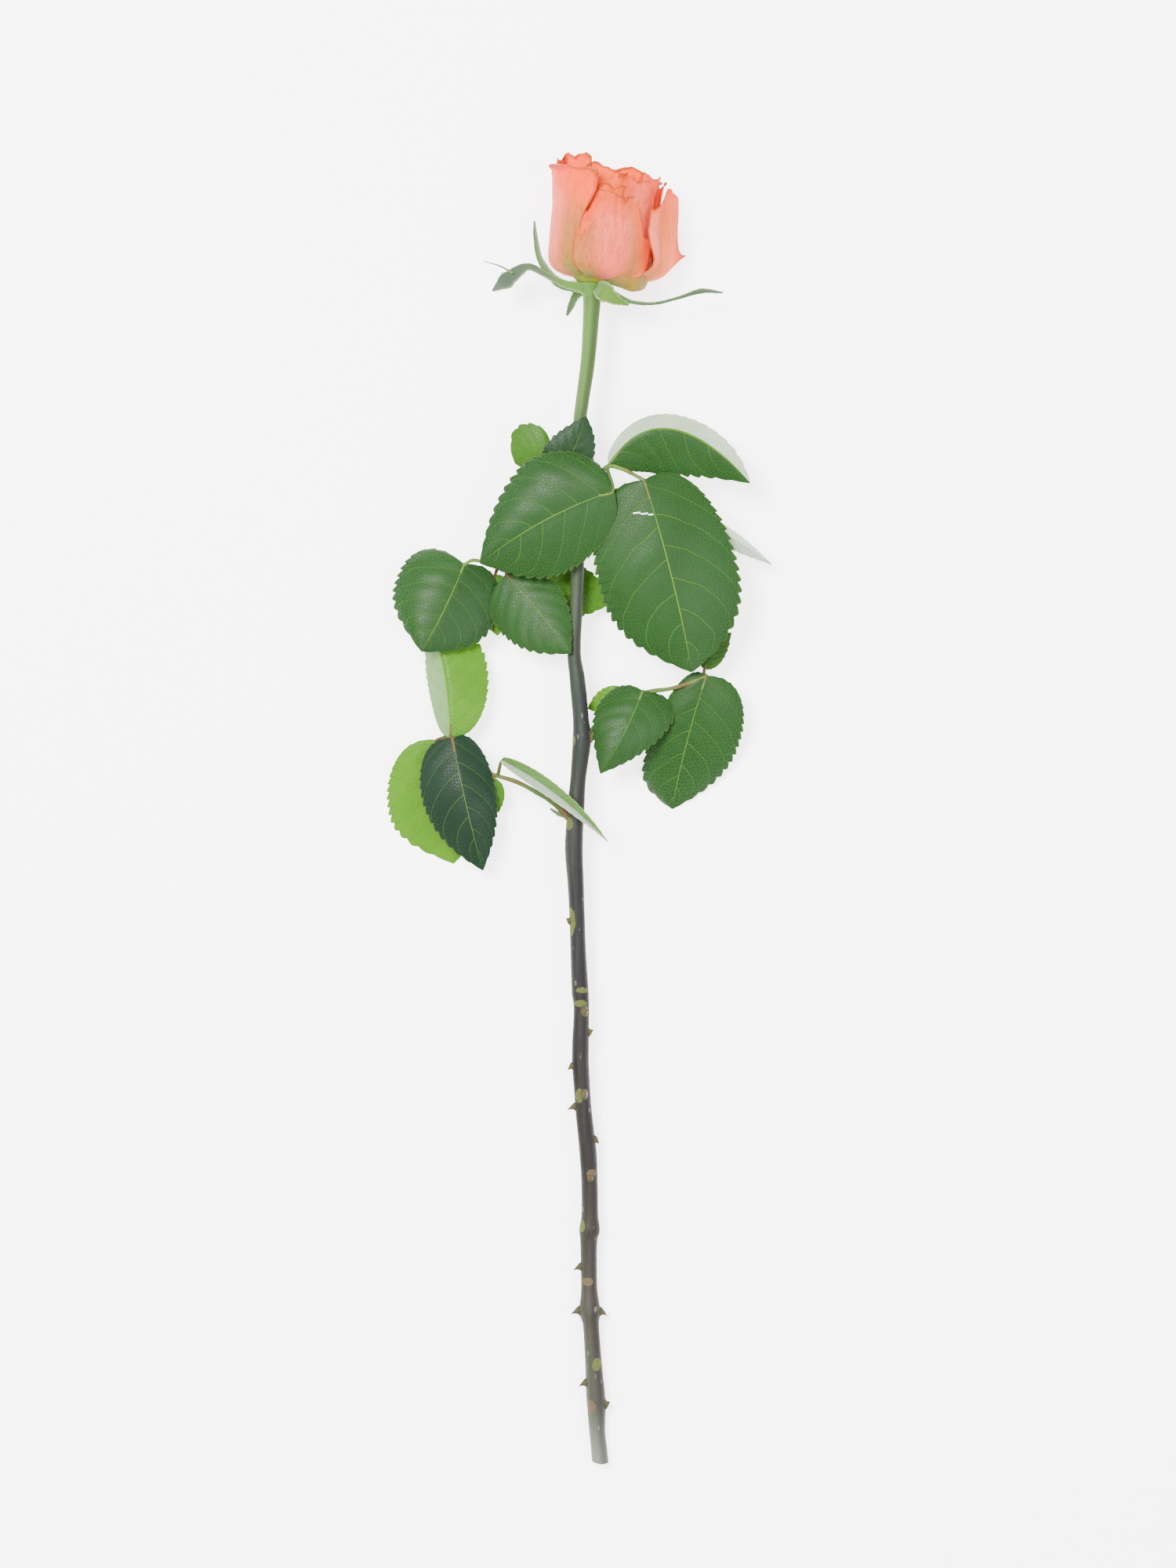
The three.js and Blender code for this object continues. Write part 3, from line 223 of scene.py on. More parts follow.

# Leaves

# The bright and pale tints are partly the leaflets' own colour and partly painted light: the glow of leaflets
# lit from behind and, on some halves, a sheen.
# stalk: x, y, z and radius from the stem outwards. Leaflets: base, tip, how far the midrib bends to its
# left (bow), how far it rises (arch) and where on its way it does both most (peak, else half way).
# left and right give the half blade's width, its slope at the midrib, how much that slope turns towards
# the edge, where it is widest and how full it stays towards the tip. lobe: how far it reaches back beside
# its base. A leaflet's own stalk starts at its stalk point, else at the end of the leaf's stalk.
# tint runs from -1, dark blue-green, over 1, bright yellow-green, to 2, pale, for one or for each half.
# holes: small tears, each as a range along the midrib and a range across, where 1 and -1 are the edges.
LEAVES = {
    "leaf_upper_left": dict(
        stalk=[[-2.4, 111.5, 19.4, 1.3], [-6.2, 117, 21.0, 0.9], [-9.0, 126.5, 23.2, 0.8],
               [-13.0, 135.6, 21.4, 0.7]],
        leaflets=[
            dict(base=[-9, 126.5, 23.4], tip=[1.8, 151.6, 27.6], bow=-1, arch=1.6,
                 left=[11, 6, -14, 0.36, 1.6], right=[9, -6, -8, 0.36, 2.0], tint=-0.7),
            dict(base=[-13, 135.4, 21.4], tip=[-25, 134.0, 16.5], bow=-1.5, arch=1,
                 left=[11, -18, -20, 0.5, 2.5], right=[13.5, 12, -20, 0.5, 2.5], tint=0.45),
        ],
    ),
    "leaf_upper_right": dict(
        stalk=[[-0.8, 114.8, 20.6, 1.4], [3.6, 123.5, 25.0, 1.0], [9.5, 131.5, 29.5, 0.9],
               [15.5, 131, 31.5, 0.8], [24, 126.6, 32.5, 0.7]],
        leaflets=[
            dict(base=[12.2, 122.5, 32.6], tip=[-38.6, 95.4, 25], bow=-2.5, arch=2,
                 left=[22, -4, -14, 0.5, 2.3], right=[24.5, 12, -44, 0.4, 1.45], stalk=[10, 131, 29.6],
                 tint=-0.2),
            dict(base=[24, 126.4, 32.6], tip=[42.4, 53.8, 25], bow=1.2, arch=3,
                 left=[27, -6, -14, 0.5, 2.8], right=[29, -2, -22, 0.46, 2.6], lobe=0.14, tint=-0.1,
                 holes=[(0.176, 0.183, -0.1, 0.0), (0.168, 0.175, -0.22, -0.1),
                        (0.160, 0.167, -0.34, -0.22)]),
            dict(base=[11.2, 133.4, 30], tip=[64.4, 125.6, 29], bow=15.5, peak=0.28, arch=2,
                 left=[11, -45, -10, 0.66, 2.8], right=[19, -12, -14, 0.45, 2.3], stalk=[9.8, 131.6, 29.6],
                 tint=(1.6, -0.1)),
            dict(base=[33, 118, 25], tip=[73.2, 95.2, 19.5], bow=1, arch=1, left=[11, -64, -10, 0.4, 1.8],
                 right=[11, -62, -10, 0.4, 1.8], stalk=[23.6, 126.8, 32.2], tint=1.7),
        ],
    ),
    "leaf_middle_left": dict(
        stalk=[[-3.2, 73.0, 17.2, 1.4], [-13, 84.5, 15.6, 0.9], [-20, 89.5, 15.4, 0.8],
               [-27.5, 92.4, 16.0, 0.8], [-40, 97.0, 16.5, 0.7], [-45.2, 95.1, 16.6, 0.7]],
        leaflets=[
            dict(base=[-44.8, 95.4, 16.6], tip=[-61.1, 61.9, 19], bow=0.8, arch=1.5,
                 left=[20.5, -4, -22, 0.46, 1.9], right=[23.5, 6, -46, 0.35, 2.8], lobe=0.3,
                 tint=(-0.4, 0.0)),
            dict(base=[-28.6, 91.6, 17.4], tip=[-3.8, 61.2, 22.4], bow=0.5, arch=1,
                 left=[12.5, 0, -16, 0.45, 1.5], right=[17, -6, -14, 0.33, 2.5], stalk=[-28, 92.4, 16.2],
                 tint=-0.1),
            dict(base=[-20, 90.4, 13.6], tip=[10.2, 80.0, 8.8], bow=1.5, arch=-0.5,
                 left=[10, -8, -8, 0.5, 2.4], right=[10.5, -4, -8, 0.5, 2.4], stalk=[-20.5, 90, 15.4],
                 tint=0.6),
            dict(base=[-33, 91.5, 13.2], tip=[-32.2, 68.4, 9.8], bow=0, arch=0.5, left=[8, -6, -10, 0.4, 2.0],
                 right=[8.5, -6, -10, 0.4, 2.0], stalk=[-32, 94, 16.2], tint=0.7),
        ],
    ),
    "leaf_lower_left": dict(
        stalk=[[-3.6, -2.6, 14.4, 1.6], [-10.2, 3.6, 15.0, 1.0], [-16, 7.4, 14.8, 0.9],
               [-24.8, 12.1, 14.0, 0.9], [-36, 15.8, 12.2, 0.8], [-43.5, 21.5, 11.6, 0.8],
               [-49.8, 28.8, 12.8, 0.7]],
        leaflets=[
            dict(base=[-49.3, 28.6, 16], tip=[-37.6, -22.0, 13.8], bow=-0.5, arch=3.5,
                 left=[13.2, -8, -20, 0.4, 2.0], right=[17.5, -10, -16, 0.4, 2.0], lobe=0.14, tint=-1.0),
            dict(base=[-55.6, 28.2, 11], tip=[-49.2, -19.6, 0.25], bow=1, arch=1.5,
                 left=[16, -6, -16, 0.4, 2.4], right=[24.5, -6, -14, 0.52, 2.6], stalk=[-49.6, 28.4, 12.6],
                 lobe=0.16, tint=(1.0, 1.0)),
            dict(base=[-50.2, 29.4, 15], tip=[-58.2, 75.4, 11], bow=-2.5, arch=1,
                 left=[14, -50, -10, 0.5, 2.2], right=[17, -8, -14, 0.55, 2.2], tint=(1.22, 0.8)),
            dict(base=[-30, 20.4, 17.4], tip=[10.4, -10.9, 22], bow=2.2, arch=1.5,
                 left=[6.4, 56, 8, 0.35, 1.6], right=[6.4, 60, 8, 0.35, 1.6], stalk=[-32, 14.4, 12.8],
                 tint=(1.2, 1.75)),
            dict(base=[-33.4, 13.4, 13.6], tip=[-43.5, -6.5, 8], bow=0, arch=0.5,
                 left=[8, -10, -10, 0.4, 2.0], right=[8, -10, -10, 0.4, 2.0], stalk=[-33, 14.8, 12.6],
                 tint=0.5),
        ],
    ),
    "leaf_lower_right": dict(
        stalk=[[1.8, 27.0, 15.6, 1.6], [11.5, 37.0, 16.6, 1.0], [22, 45.4, 17.0, 0.9],
               [34.3, 47.8, 17.2, 0.8], [40.5, 49.6, 17.4, 0.8], [48, 52.6, 17.6, 0.7]],
        leaflets=[
            dict(base=[23.6, 46.8, 18.6], tip=[7.4, 15.2, 20.5], bow=1, arch=2.5,
                 left=[16, -6, -18, 0.22, 1.35], right=[15, -8, -26, 0.4, 1.7], lobe=0.2,
                 stalk=[23.4, 45.8, 17.2], tint=(-0.2, 0.0)),
            dict(base=[48, 52.6, 18], tip=[35.2, 1.6, 0.25], bow=-1, arch=4, left=[21, -6, -18, 0.4, 2.5],
                 right=[15, 6, -34, 0.7, 3.0], lobe=0.14, tint=0.0),
            dict(base=[47.4, 55.6, 17], tip=[57.8, 69.4, 13.6], bow=1, arch=0.5,
                 left=[4.5, -10, -10, 0.4, 2.0], right=[5, -16, -10, 0.4, 2.0], stalk=[47, 52.4, 17.4],
                 tint=0.3),
            dict(base=[17.5, 45.8, 13.6], tip=[2.6, 40.4, 9.6], bow=0, arch=0.5,
                 left=[5.5, -6, -10, 0.4, 2.0], right=[5.5, -6, -10, 0.4, 2.0], stalk=[19, 44.2, 16.6],
                 tint=0.8),
        ],
    ),
}
LOBE = 0.06                  # how far the blade reaches back beside its base, as a part of its length
CROWDING = 1.3
TOOTH_PITCH = (1.8, 0.02)    # mm between teeth, and how much that grows with the leaflet's length
TOOTH_STEPS = 5
TOOTH_DEPTH = 0.06
LEAF_THICKNESS = 0.35
ACROSS = np.array([0, 0.1, 0.22, 0.35, 0.48, 0.6, 0.72, 0.82, 0.91, 1.0])
VEIN_PAIRS = 6
VEIN_LEAN = (0.16, 0.18)     # how far a side vein runs towards the tip on its way out
VEIN_SHIFT = 0.45            # how far the veins of the two halves are out of step
QUILT = 0.3                  # how far the blade swells between its veins
LEAF_REST_HEIGHT = 0.2
RIB_CELLS = 40
RIB_END = 0.94
RIB_SUNK = 0.5
RIB_RADII = (0.62, 0.14)
TWIG_POINTS = 18
TWIG_RADII = (0.75, 0.4)
STALK_POINTS = 80
# Stipules: where they start and end along the stalk, how far their points spread, half widths
STIPULE_SPAN = (1.2, 9.0)
STIPULE_SPREAD = 2.4
STIPULE_HALF = [0.7, 0.8, 0.3]
STIPULE_CELLS = 16
# Pale grey-green of the highest tints: partly the leaflets' own colour, partly painted backlight and sheen.
PALE_LEAF = "c6d2c4"
LEAF_LOOKS = {
    "leaf_top": dict(dark="12281a", usual="1b3d18", bright="4a7c12", vein="5c7e2c",
                     roughness=0.4, net_strength=0.42, through=0.16),
    "leaf_under": dict(dark="455e3e", usual="527042", bright="6c9430", vein="7a9450",
                       roughness=0.6, net_strength=0.35, through=0.2),
}

# Small helpers


def smooth(t):
    c = np.clip(t, 0, 1)
    return c * c * (3 - 2 * c)


def turns(count):
    """Angles that divide a full turn evenly."""
    return np.linspace(0, 2 * np.pi, count, endpoint=False)


def unit(v):
    return v / np.maximum(np.linalg.norm(v, axis=-1, keepdims=True), 1e-9)


def draw(i):
    n = math.sin(i * 12.9898 + 4.1) * 43758.5453
    return n - math.floor(n)


def spline(rows, count):
    """Points on a smooth curve through the rows, which may carry more than x, y and z."""
    rows = np.array(rows, float)
    padded = np.vstack([2 * rows[0] - rows[1], rows, 2 * rows[-1] - rows[-2]])
    at = np.linspace(0, len(rows) - 1, count)
    k = np.minimum(at.astype(int), len(rows) - 2)
    t = (at - k)[:, None]
    a, b, c, d = (padded[k + i] for i in range(4))
    return 0.5 * (2 * b + (c - a) * t + (2 * a - 5 * b + 4 * c - d) * t**2 + (3 * b - a - 3 * c + d) * t**3)


def grid_faces(rows, columns, closed=False):
    """Quads of a grid of points that is numbered row by row."""
    wide = columns if closed else columns - 1
    j, i = np.meshgrid(np.arange(rows - 1), np.arange(wide), indexing="ij")
    right = (i + 1) % columns
    a, b = j * columns + i, j * columns + right
    return np.stack([a, b, b + columns, a + columns], -1).reshape(-1, 4)


def grid_normals(grid):
    along = np.gradient(grid, axis=0)
    across = np.gradient(grid, axis=1)
    return unit(np.cross(across, along))


class Piece:
    """Gathers the blades and tubes of one piece, with a place to paint by at every point."""

    def __init__(self):
        self.points = []
        self.paint = []
        self.faces = []
        self.kinds = []
        self.count = 0

    def add(self, points, faces, paint, kind):
        points = points.reshape(-1, 3)
        self.points.append(points)
        self.paint.append(paint.reshape(-1, 3))
        self.faces.extend((np.array(faces) + self.count).tolist())
        self.kinds.extend([kind] * len(faces))
        self.count += len(points)

    def blade(self, grid, thickness, paint, top, under, holes=()):
        """A closed blade from a grid of points, cut open where its paint lies in the range of a hole."""
        rows, columns = grid.shape[:2]
        normals = grid_normals(grid)
        upper = (grid + normals * thickness / 2).reshape(-1, 3)
        lower = (grid - normals * thickness / 2).reshape(-1, 3)
        size = rows * columns
        quads = grid_faces(rows, columns)
        along, side = (paint[:-1, :-1, k].ravel() + paint[1:, 1:, k].ravel() for k in (0, 1))
        for from_root, to_root, from_side, to_side in holes:
            inside = (along > 2 * from_root) & (along < 2 * to_root)
            inside = inside & (side > 2 * from_side) & (side < 2 * to_side)
            quads, along, side = quads[~inside], along[~inside], side[~inside]
        edges = np.concatenate([quads[:, [k, (k + 1) % 4]] for k in range(4)])
        inner = set(map(tuple, edges[:, ::-1].tolist()))
        rim = np.array([edge for edge in edges.tolist() if tuple(edge) not in inner])
        walls = np.stack([rim[:, 0], rim[:, 0] + size, rim[:, 1] + size, rim[:, 1]], 1)
        start = self.count
        self.add(np.vstack([upper, lower]), quads, np.stack([paint] * 2), top)
        for faces in (quads[:, ::-1] + size, walls):
            self.faces.extend((faces + start).tolist())
            self.kinds.extend([under] * len(faces))

    def tube(self, centres, radii, sides, kind, tint=0.0, bumps=None):
        """A round tube along points. bumps scales the radius at each ring and side."""
        along = unit(np.gradient(centres, axis=0))
        across = unit(np.cross(along, UP))
        lift = np.cross(across, along)
        angle = turns(sides)
        reach = radii[:, None] * (1 if bumps is None else bumps)
        reach = np.broadcast_to(reach, (len(centres), sides))[..., None]
        ring = across[:, None] * np.cos(angle)[:, None] + lift[:, None] * np.sin(angle)[:, None]
        grid = centres[:, None] + ring * reach
        steps = np.linspace(0, 1, len(centres))
        paint = np.stack(np.broadcast_arrays(steps[:, None], angle / np.pi - 1, tint), -1)
        faces = grid_faces(len(centres), sides, True)[:, ::-1]
        self.add(grid, faces, paint, kind)
        return grid

    def make(self, name, node, materials):
        mesh = bpy.data.meshes.new(name)
        points = np.vstack(self.points) * MM
        mesh.from_pydata(points.tolist(), [], self.faces)
        order = {kind: i for i, kind in enumerate(materials)}
        for material in materials.values():
            mesh.materials.append(material)
        mesh.polygons.foreach_set("material_index", [order[kind] for kind in self.kinds])
        mesh.polygons.foreach_set("use_smooth", [True] * len(self.faces))
        place = mesh.attributes.new("place", "FLOAT_VECTOR", "POINT")
        place.data.foreach_set("vector", np.vstack(self.paint).astype(np.float32).ravel())
        mesh.set_sharp_from_angle(angle=math.radians(65))
        piece = bpy.data.objects.new(name, mesh)
        bpy.context.scene.collection.objects.link(piece)
        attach(piece, "root")
        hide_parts(node)
        return piece


# Materials


def colour(code):
    """A linear colour from its six hexadecimal digits."""
    parts = [int(code[i:i + 2], 16) / 255 for i in (0, 2, 4)]
    return [c / 12.92 if c <= 0.04045 else ((c + 0.055) / 1.055) ** 2.4 for c in parts] + [1.0]


class Nodes:
    """Short calls for the node tree of one material."""

    def __init__(self, name):
        self.material = bpy.data.materials.new(name)
        self.material.use_nodes = True
        self.tree = self.material.node_tree
        self.tree.nodes.clear()

    def node(self, kind, inputs=(), **settings):
        node = self.tree.nodes.new(kind)
        for key, value in settings.items():
            setattr(node, key, value)
        for key, value in dict(inputs).items():
            if isinstance(value, bpy.types.NodeSocket):
                self.tree.links.new(value, node.inputs[key])
            else:
                node.inputs[key].default_value = value
        return node

    def math(self, operation, *values, clamp=False):
        return self.node("ShaderNodeMath", enumerate(values), operation=operation, use_clamp=clamp).outputs[0]

    def add(self, a, b):
        return self.math("ADD", a, b)

    def less(self, a, b):
        return self.math("SUBTRACT", a, b)

    def flip(self, a):
        return self.less(1.0, a)

    def absolute(self, a):
        return self.math("ABSOLUTE", a)

    def most(self, a, b):
        return self.math("MAXIMUM", a, b)

    def times(self, a, b):
        return self.math("MULTIPLY", a, b)

    def step(self, value, low, high):
        """0 below low, 1 above high and smooth between them."""
        inputs = {"Value": value, "From Min": low, "From Max": high}
        return self.node("ShaderNodeMapRange", inputs, interpolation_type="SMOOTHSTEP").outputs[0]

    def noise(self, scale, detail=3.0, stretch=(1, 1, 1), rough=0.55):
        inputs = {"Vector": self.stretched(stretch), "Scale": scale, "Detail": detail, "Roughness": rough}
        return self.node("ShaderNodeTexNoise", inputs).outputs["Fac"]

    def warped(self, where, scale, bend):
        """Noise whose lines are bent, at other coordinates than the object's own."""
        inputs = {"Vector": where, "Scale": scale, "Detail": 4.0, "Distortion": bend}
        return self.node("ShaderNodeTexNoise", inputs).outputs["Fac"]

    def cells(self, scale, stretch=(1, 1, 1), feature="DISTANCE_TO_EDGE", space="3D"):
        inputs = {"Vector": self.stretched(stretch), "Scale": scale}
        node = self.node("ShaderNodeTexVoronoi", inputs, feature=feature, voronoi_dimensions=space)
        return node.outputs["Distance"]

    def stretched(self, stretch):
        where = self.node("ShaderNodeTexCoord").outputs["Object"]
        return self.node("ShaderNodeMapping", {"Vector": where, "Scale": stretch}).outputs[0]

    def parts(self, vector):
        return self.node("ShaderNodeSeparateXYZ", {0: vector}).outputs

    def painted(self, name):
        """The three values of a mesh attribute."""
        return self.parts(self.node("ShaderNodeAttribute", attribute_name=name).outputs["Vector"])

    def place(self):
        """The paint coordinates that Piece gives each point."""
        return self.painted("place")

    def mix(self, amount, a, b, blend="MIX"):
        inputs = {0: amount, 6: a, 7: b}
        return self.node("ShaderNodeMix", inputs, data_type="RGBA", blend_type=blend).outputs[2]

    def stain(self, amount, base, code):
        """The base, darkened by a colour where amount is high."""
        return self.mix(amount, base, self.mix(1.0, base, colour(code), "MULTIPLY"))

    def ramp(self, value, stops):
        node = self.node("ShaderNodeValToRGB", {0: value})
        elements = node.color_ramp.elements
        while len(elements) < len(stops):
            elements.new(0.5)
        for element, (place, code) in zip(elements, stops):
            element.position = place
            element.color = colour(code)
        return node.outputs[0]

    def bump(self, height, distance, strength=1.0):
        inputs = {"Height": height, "Distance": distance, "Strength": strength}
        return self.node("ShaderNodeBump", inputs).outputs[0]

    def surface(self, base, roughness, normal, through=0.0, through_colour=None, **constants):
        """The finished surface. through is how much light comes through a thin blade."""
        inputs = {"Base Color": base, "Roughness": roughness, "Normal": normal, **constants}
        shader = self.node("ShaderNodeBsdfPrincipled", inputs).outputs[0]
        if through:
            inputs = {"Color": through_colour, "Normal": normal}
            lit = self.node("ShaderNodeBsdfTranslucent", inputs).outputs[0]
            shader = self.node("ShaderNodeMixShader", {0: through, 1: shader, 2: lit}).outputs[0]
        self.node("ShaderNodeOutputMaterial", {"Surface": shader})
        return self.material


def vein_distance(n, along, side):
    """How far a point lies from the nearest side vein, as a part of the space between two."""
    out = n.absolute(side)
    lean = n.add(n.times(out, VEIN_LEAN[0]), n.times(n.times(out, out), VEIN_LEAN[1]))
    half_step = n.times(n.step(side, -0.01, 0.01), VEIN_SHIFT)
    row = n.add(n.times(n.less(along, lean), float(VEIN_PAIRS)), half_step)
    wander = n.times(n.less(n.noise(90, 1.0), 0.5), 0.22)
    return n.absolute(n.less(n.math("FRACT", n.add(row, wander)), 0.5))


def leaf_material(name, dark, usual, bright, vein, roughness, net_strength, through):
    n = Nodes(name)
    along, side, tint = n.place()
    out = n.absolute(side)
    # Greens from dark over bright to pale by tint; the bright and pale ends partly paint the glow of light
    # through the leaflet and its sheen.
    green = n.mix(n.step(tint, -1.0, 0.0), colour(dark), colour(usual))
    green = n.mix(n.step(tint, 0.0, 1.0), green, colour(bright))
    green = n.mix(n.step(tint, 1.0, 2.0), green, colour(PALE_LEAF))
    cloud = n.step(n.noise(55, 4.0), 0.35, 0.7)
    green = n.stain(n.times(cloud, 0.45), green, "c2d0a0")
    midrib = n.flip(n.step(out, 0.003, 0.014))
    taper = n.flip(n.times(out, 0.6))
    side_vein = n.times(n.flip(n.step(vein_distance(n, along, side), 0.005, 0.026)), taper)
    net = n.flip(n.step(n.cells(800, space="2D"), 0.02, 0.1))
    seen = n.times(n.times(net, net_strength), n.step(tint, -1.3, 0.0))
    green = n.mix(seen, green, n.mix(0.5, green, colour(vein)))
    lines = n.most(midrib, n.times(side_vein, 0.6))
    base = n.mix(n.times(lines, 0.8), green, colour(vein))
    edge = n.step(out, 0.965, 1.0)
    base = n.mix(n.times(edge, 0.3), base, colour("626a34"))
    raised = n.most(midrib, n.most(side_vein, n.times(net, 0.5)))
    relief = n.flip(raised)
    grain = n.add(relief, n.times(n.noise(1600, 2.0), 0.25))
    rough = n.add(roughness, n.times(n.less(n.noise(60, 3.0), 0.5), 0.3))
    lit = n.mix(0.5, base, colour(bright))
    return n.surface(base, rough, n.bump(grain, 0.0003, 0.8), through, lit, **{"Specular IOR Level": 0.13})


def petal_material(name, inner):
    n = Nodes(name)
    along, side, warm = n.place()
    noise = n.less(n.noise(70, 3.0), 0.5)
    height = n.add(along, n.times(noise, 0.2))
    cream, pink, pale, hot = (n.ramp(height, PETAL_TONES[tone]) for tone in ("cream", "pink", "pale", "hot"))
    base = n.mix(n.step(warm, -0.1, -1.0), cream, pink)
    base = n.mix(n.step(warm, -1.0, -2.0), base, pale)
    base = n.mix(n.step(warm, 0.0, 1.0), base, hot)
    if inner:
        base = n.mix(0.45, base, colour("fa6024"))
    fan = n.node("ShaderNodeCombineXYZ", {0: n.times(side, 22.0), 1: n.times(along, 5.0), 2: warm}).outputs[0]
    veins = n.warped(fan, 1.5, 0.7)
    folds = n.warped(fan, 0.6, 1.6)
    base = n.stain(n.times(n.step(veins, 0.46, 0.72), 0.36), base, "dc9c84")
    # Fine crinkles, dented in the bump and painted darker as painted shade in the crinkles.
    shaded_crinkle = n.step(n.noise(520, 5.0, (1, 0.55, 1), 0.7), 0.5, 0.7)
    base = n.stain(n.times(shaded_crinkle, 0.4), base, "d09a80")
    # Thin lines along the folds, dented in the bump and painted darker as painted shade in the folds.
    fold = n.absolute(n.less(folds, 0.5))
    crease = n.times(n.flip(n.step(fold, 0.0, 0.05)), n.step(n.noise(45, 2.0), 0.42, 0.6))
    base = n.stain(n.times(crease, 0.16), base, "c48c68")
    blotch = n.step(n.noise(38, 3.0), 0.45, 0.75)
    base = n.mix(n.times(blotch, 0.36), base, colour("bc6c28"))
    # A brown rim along the top and side edges: partly the browned margin of the petals, partly painted shade
    # where one petal's edge lies over another.
    rim = n.most(n.step(along, 0.95, 0.99), n.step(n.absolute(side), 0.93, 0.99))
    base = n.mix(n.times(rim, n.math("MULTIPLY", n.noise(200, 3.0), 1.5, clamp=True)), base, colour("9a4a18"))
    fine = n.less(n.times(n.noise(300, 5.0), 0.6), n.times(shaded_crinkle, 0.3))
    relief = n.add(n.times(veins, 0.4), fine)
    relief = n.less(relief, n.times(crease, 0.15))
    rough = n.add(0.6, n.times(noise, 0.25))
    lit = n.mix(0.5, base, colour("ff7a30"))
    constants = {"Specular IOR Level": 0.16, "Sheen Weight": 0.05, "Sheen Roughness": 0.4}
    return n.surface(base, rough, n.bump(relief, 0.0006, 0.8), 0.34, lit, **constants)


def bark_material():
    n = Nodes("bark")
    _, y, _ = n.parts(n.stretched((1, 1, 1)))
    drift = n.times(n.less(n.noise(14, 3.0, (1, 0.4, 1)), 0.5), 0.05)
    length = n.math("DIVIDE", n.add(n.add(y, FOOT_AT), drift), STEM_LONG)
    skin = n.ramp(length, BARK_TONES)
    streak = n.step(n.noise(260, 4.0, (1, 0.05, 1)), 0.42, 0.68)
    woody = n.flip(n.step(length, 0.62, 0.8))
    skin = n.mix(n.times(n.times(streak, woody), 0.16), skin, colour("544e46"))
    purple = n.times(n.step(n.noise(60, 3.0, (1, 0.25, 1)), 0.5, 0.75), n.step(length, 0.25, 0.6))
    skin = n.mix(n.times(purple, 0.4), skin, colour("281c22"))
    turn = n.place()[1]
    # The stem's right side is darker: partly its dark purple skin, partly painted shade.
    purple_and_shaded_side = n.times(n.step(turn, -0.6, -0.35), n.step(turn, 0.7, 0.4))
    skin = n.mix(n.times(purple_and_shaded_side, 0.5), skin, colour("1a1218"))
    fleck = n.flip(n.step(n.cells(420, (1, 0.42, 1), "F1"), 0.12, 0.26))
    chosen = n.step(n.noise(170, 1.0), 0.5, 0.62)
    fleck = n.times(n.times(fleck, chosen), woody)
    skin = n.mix(n.times(fleck, 0.45), skin, colour("746e62"))
    scar, yellow, _ = n.painted("scar")
    mark = n.mix(yellow, colour("5c4836"), colour("545e22"))
    patch = n.step(n.add(scar, n.times(n.less(n.noise(420, 3.0), 0.5), 0.6)), 0.35, 0.6)
    skin = n.mix(n.times(patch, 0.6), skin, mark)
    relief = n.add(n.times(n.noise(420, 4.0, (1, 0.12, 1)), 0.7), n.times(fleck, 0.8))
    rough = n.add(0.42, n.times(n.noise(300, 2.0), 0.25))
    return n.surface(skin, rough, n.bump(relief, 0.0004, 0.8), **{"Specular IOR Level": 0.14})


def prickle_material():
    n = Nodes("prickle")
    along, _, _ = n.place()
    base = n.ramp(n.add(along, n.times(n.noise(500, 2.0), 0.25)), [
        (0.0, "24221c"), (0.35, "3a3c1e"), (0.75, "4a3020"), (1.0, "341a14")])
    return n.surface(base, 0.5, n.bump(n.noise(900, 3.0), 0.0002), **{"Specular IOR Level": 0.14})


def cut_material():
    n = Nodes("cut_face")
    out, _, _ = n.place()
    rings = n.add(out, n.times(n.noise(900, 3.0), 0.08))
    base = n.ramp(rings, CUT_TONES)
    return n.surface(base, 0.7, n.bump(n.cells(2600), 0.0002), **{"Specular IOR Level": 0.3})


def sepal_material():
    n = Nodes("sepal")
    along, side, fresh = n.place()
    out = n.absolute(side)
    base = n.ramp(n.add(along, n.times(n.noise(90, 3.0), 0.12)), SEPAL_TONES)
    base = n.mix(fresh, base, colour("456c0c"))
    fluff = n.times(n.step(out, 0.72, 1.0), n.step(n.noise(1500, 3.0), 0.3, 0.6))
    base = n.mix(n.times(fluff, 0.34), base, colour("c2cba8"))
    off_vein = n.absolute(n.less(n.math("FRACT", n.times(out, 3.0)), 0.5))
    vein = n.flip(n.step(off_vein, 0.04, 0.2))
    base = n.mix(n.times(vein, 0.13), base, colour("8ca05c"))
    relief = n.add(n.times(vein, 0.5), n.times(n.noise(1400, 3.0), 0.6))
    lit = n.mix(0.5, base, colour("a8c860"))
    constants = {"Specular IOR Level": 0.3, "Sheen Weight": 0.3}
    return n.surface(base, 0.6, n.bump(relief, 0.0003, 0.7), 0.2, lit, **constants)


def stalk_material():
    n = Nodes("stalk")
    along, _, _ = n.place()
    cloud = n.noise(120, 3.0)
    base = n.ramp(n.add(along, n.times(cloud, 0.3)), [(0.0, "34401c"), (0.5, "3c4e1e"), (1.0, "4a6626")])
    red = n.times(n.step(n.noise(60, 3.0), 0.42, 0.62), 0.7)
    base = n.mix(red, base, colour("542620"))
    return n.surface(base, 0.5, n.bump(n.noise(1300, 3.0), 0.0003), **{"Specular IOR Level": 0.16})


# Stem


def stem_noise(y, angle):
    """Slow ribs and swellings of the skin."""
    ribs = 0.012 * np.sin(3 * angle + 0.02 * y) + 0.009 * np.sin(5 * angle - 0.035 * y + 1)
    rings = 0.012 * np.sin(0.31 * y) * np.sin(0.11 * y + 2) + 0.006 * np.sin(1.7 * y + 2 * angle)
    return 1 + ribs + rings


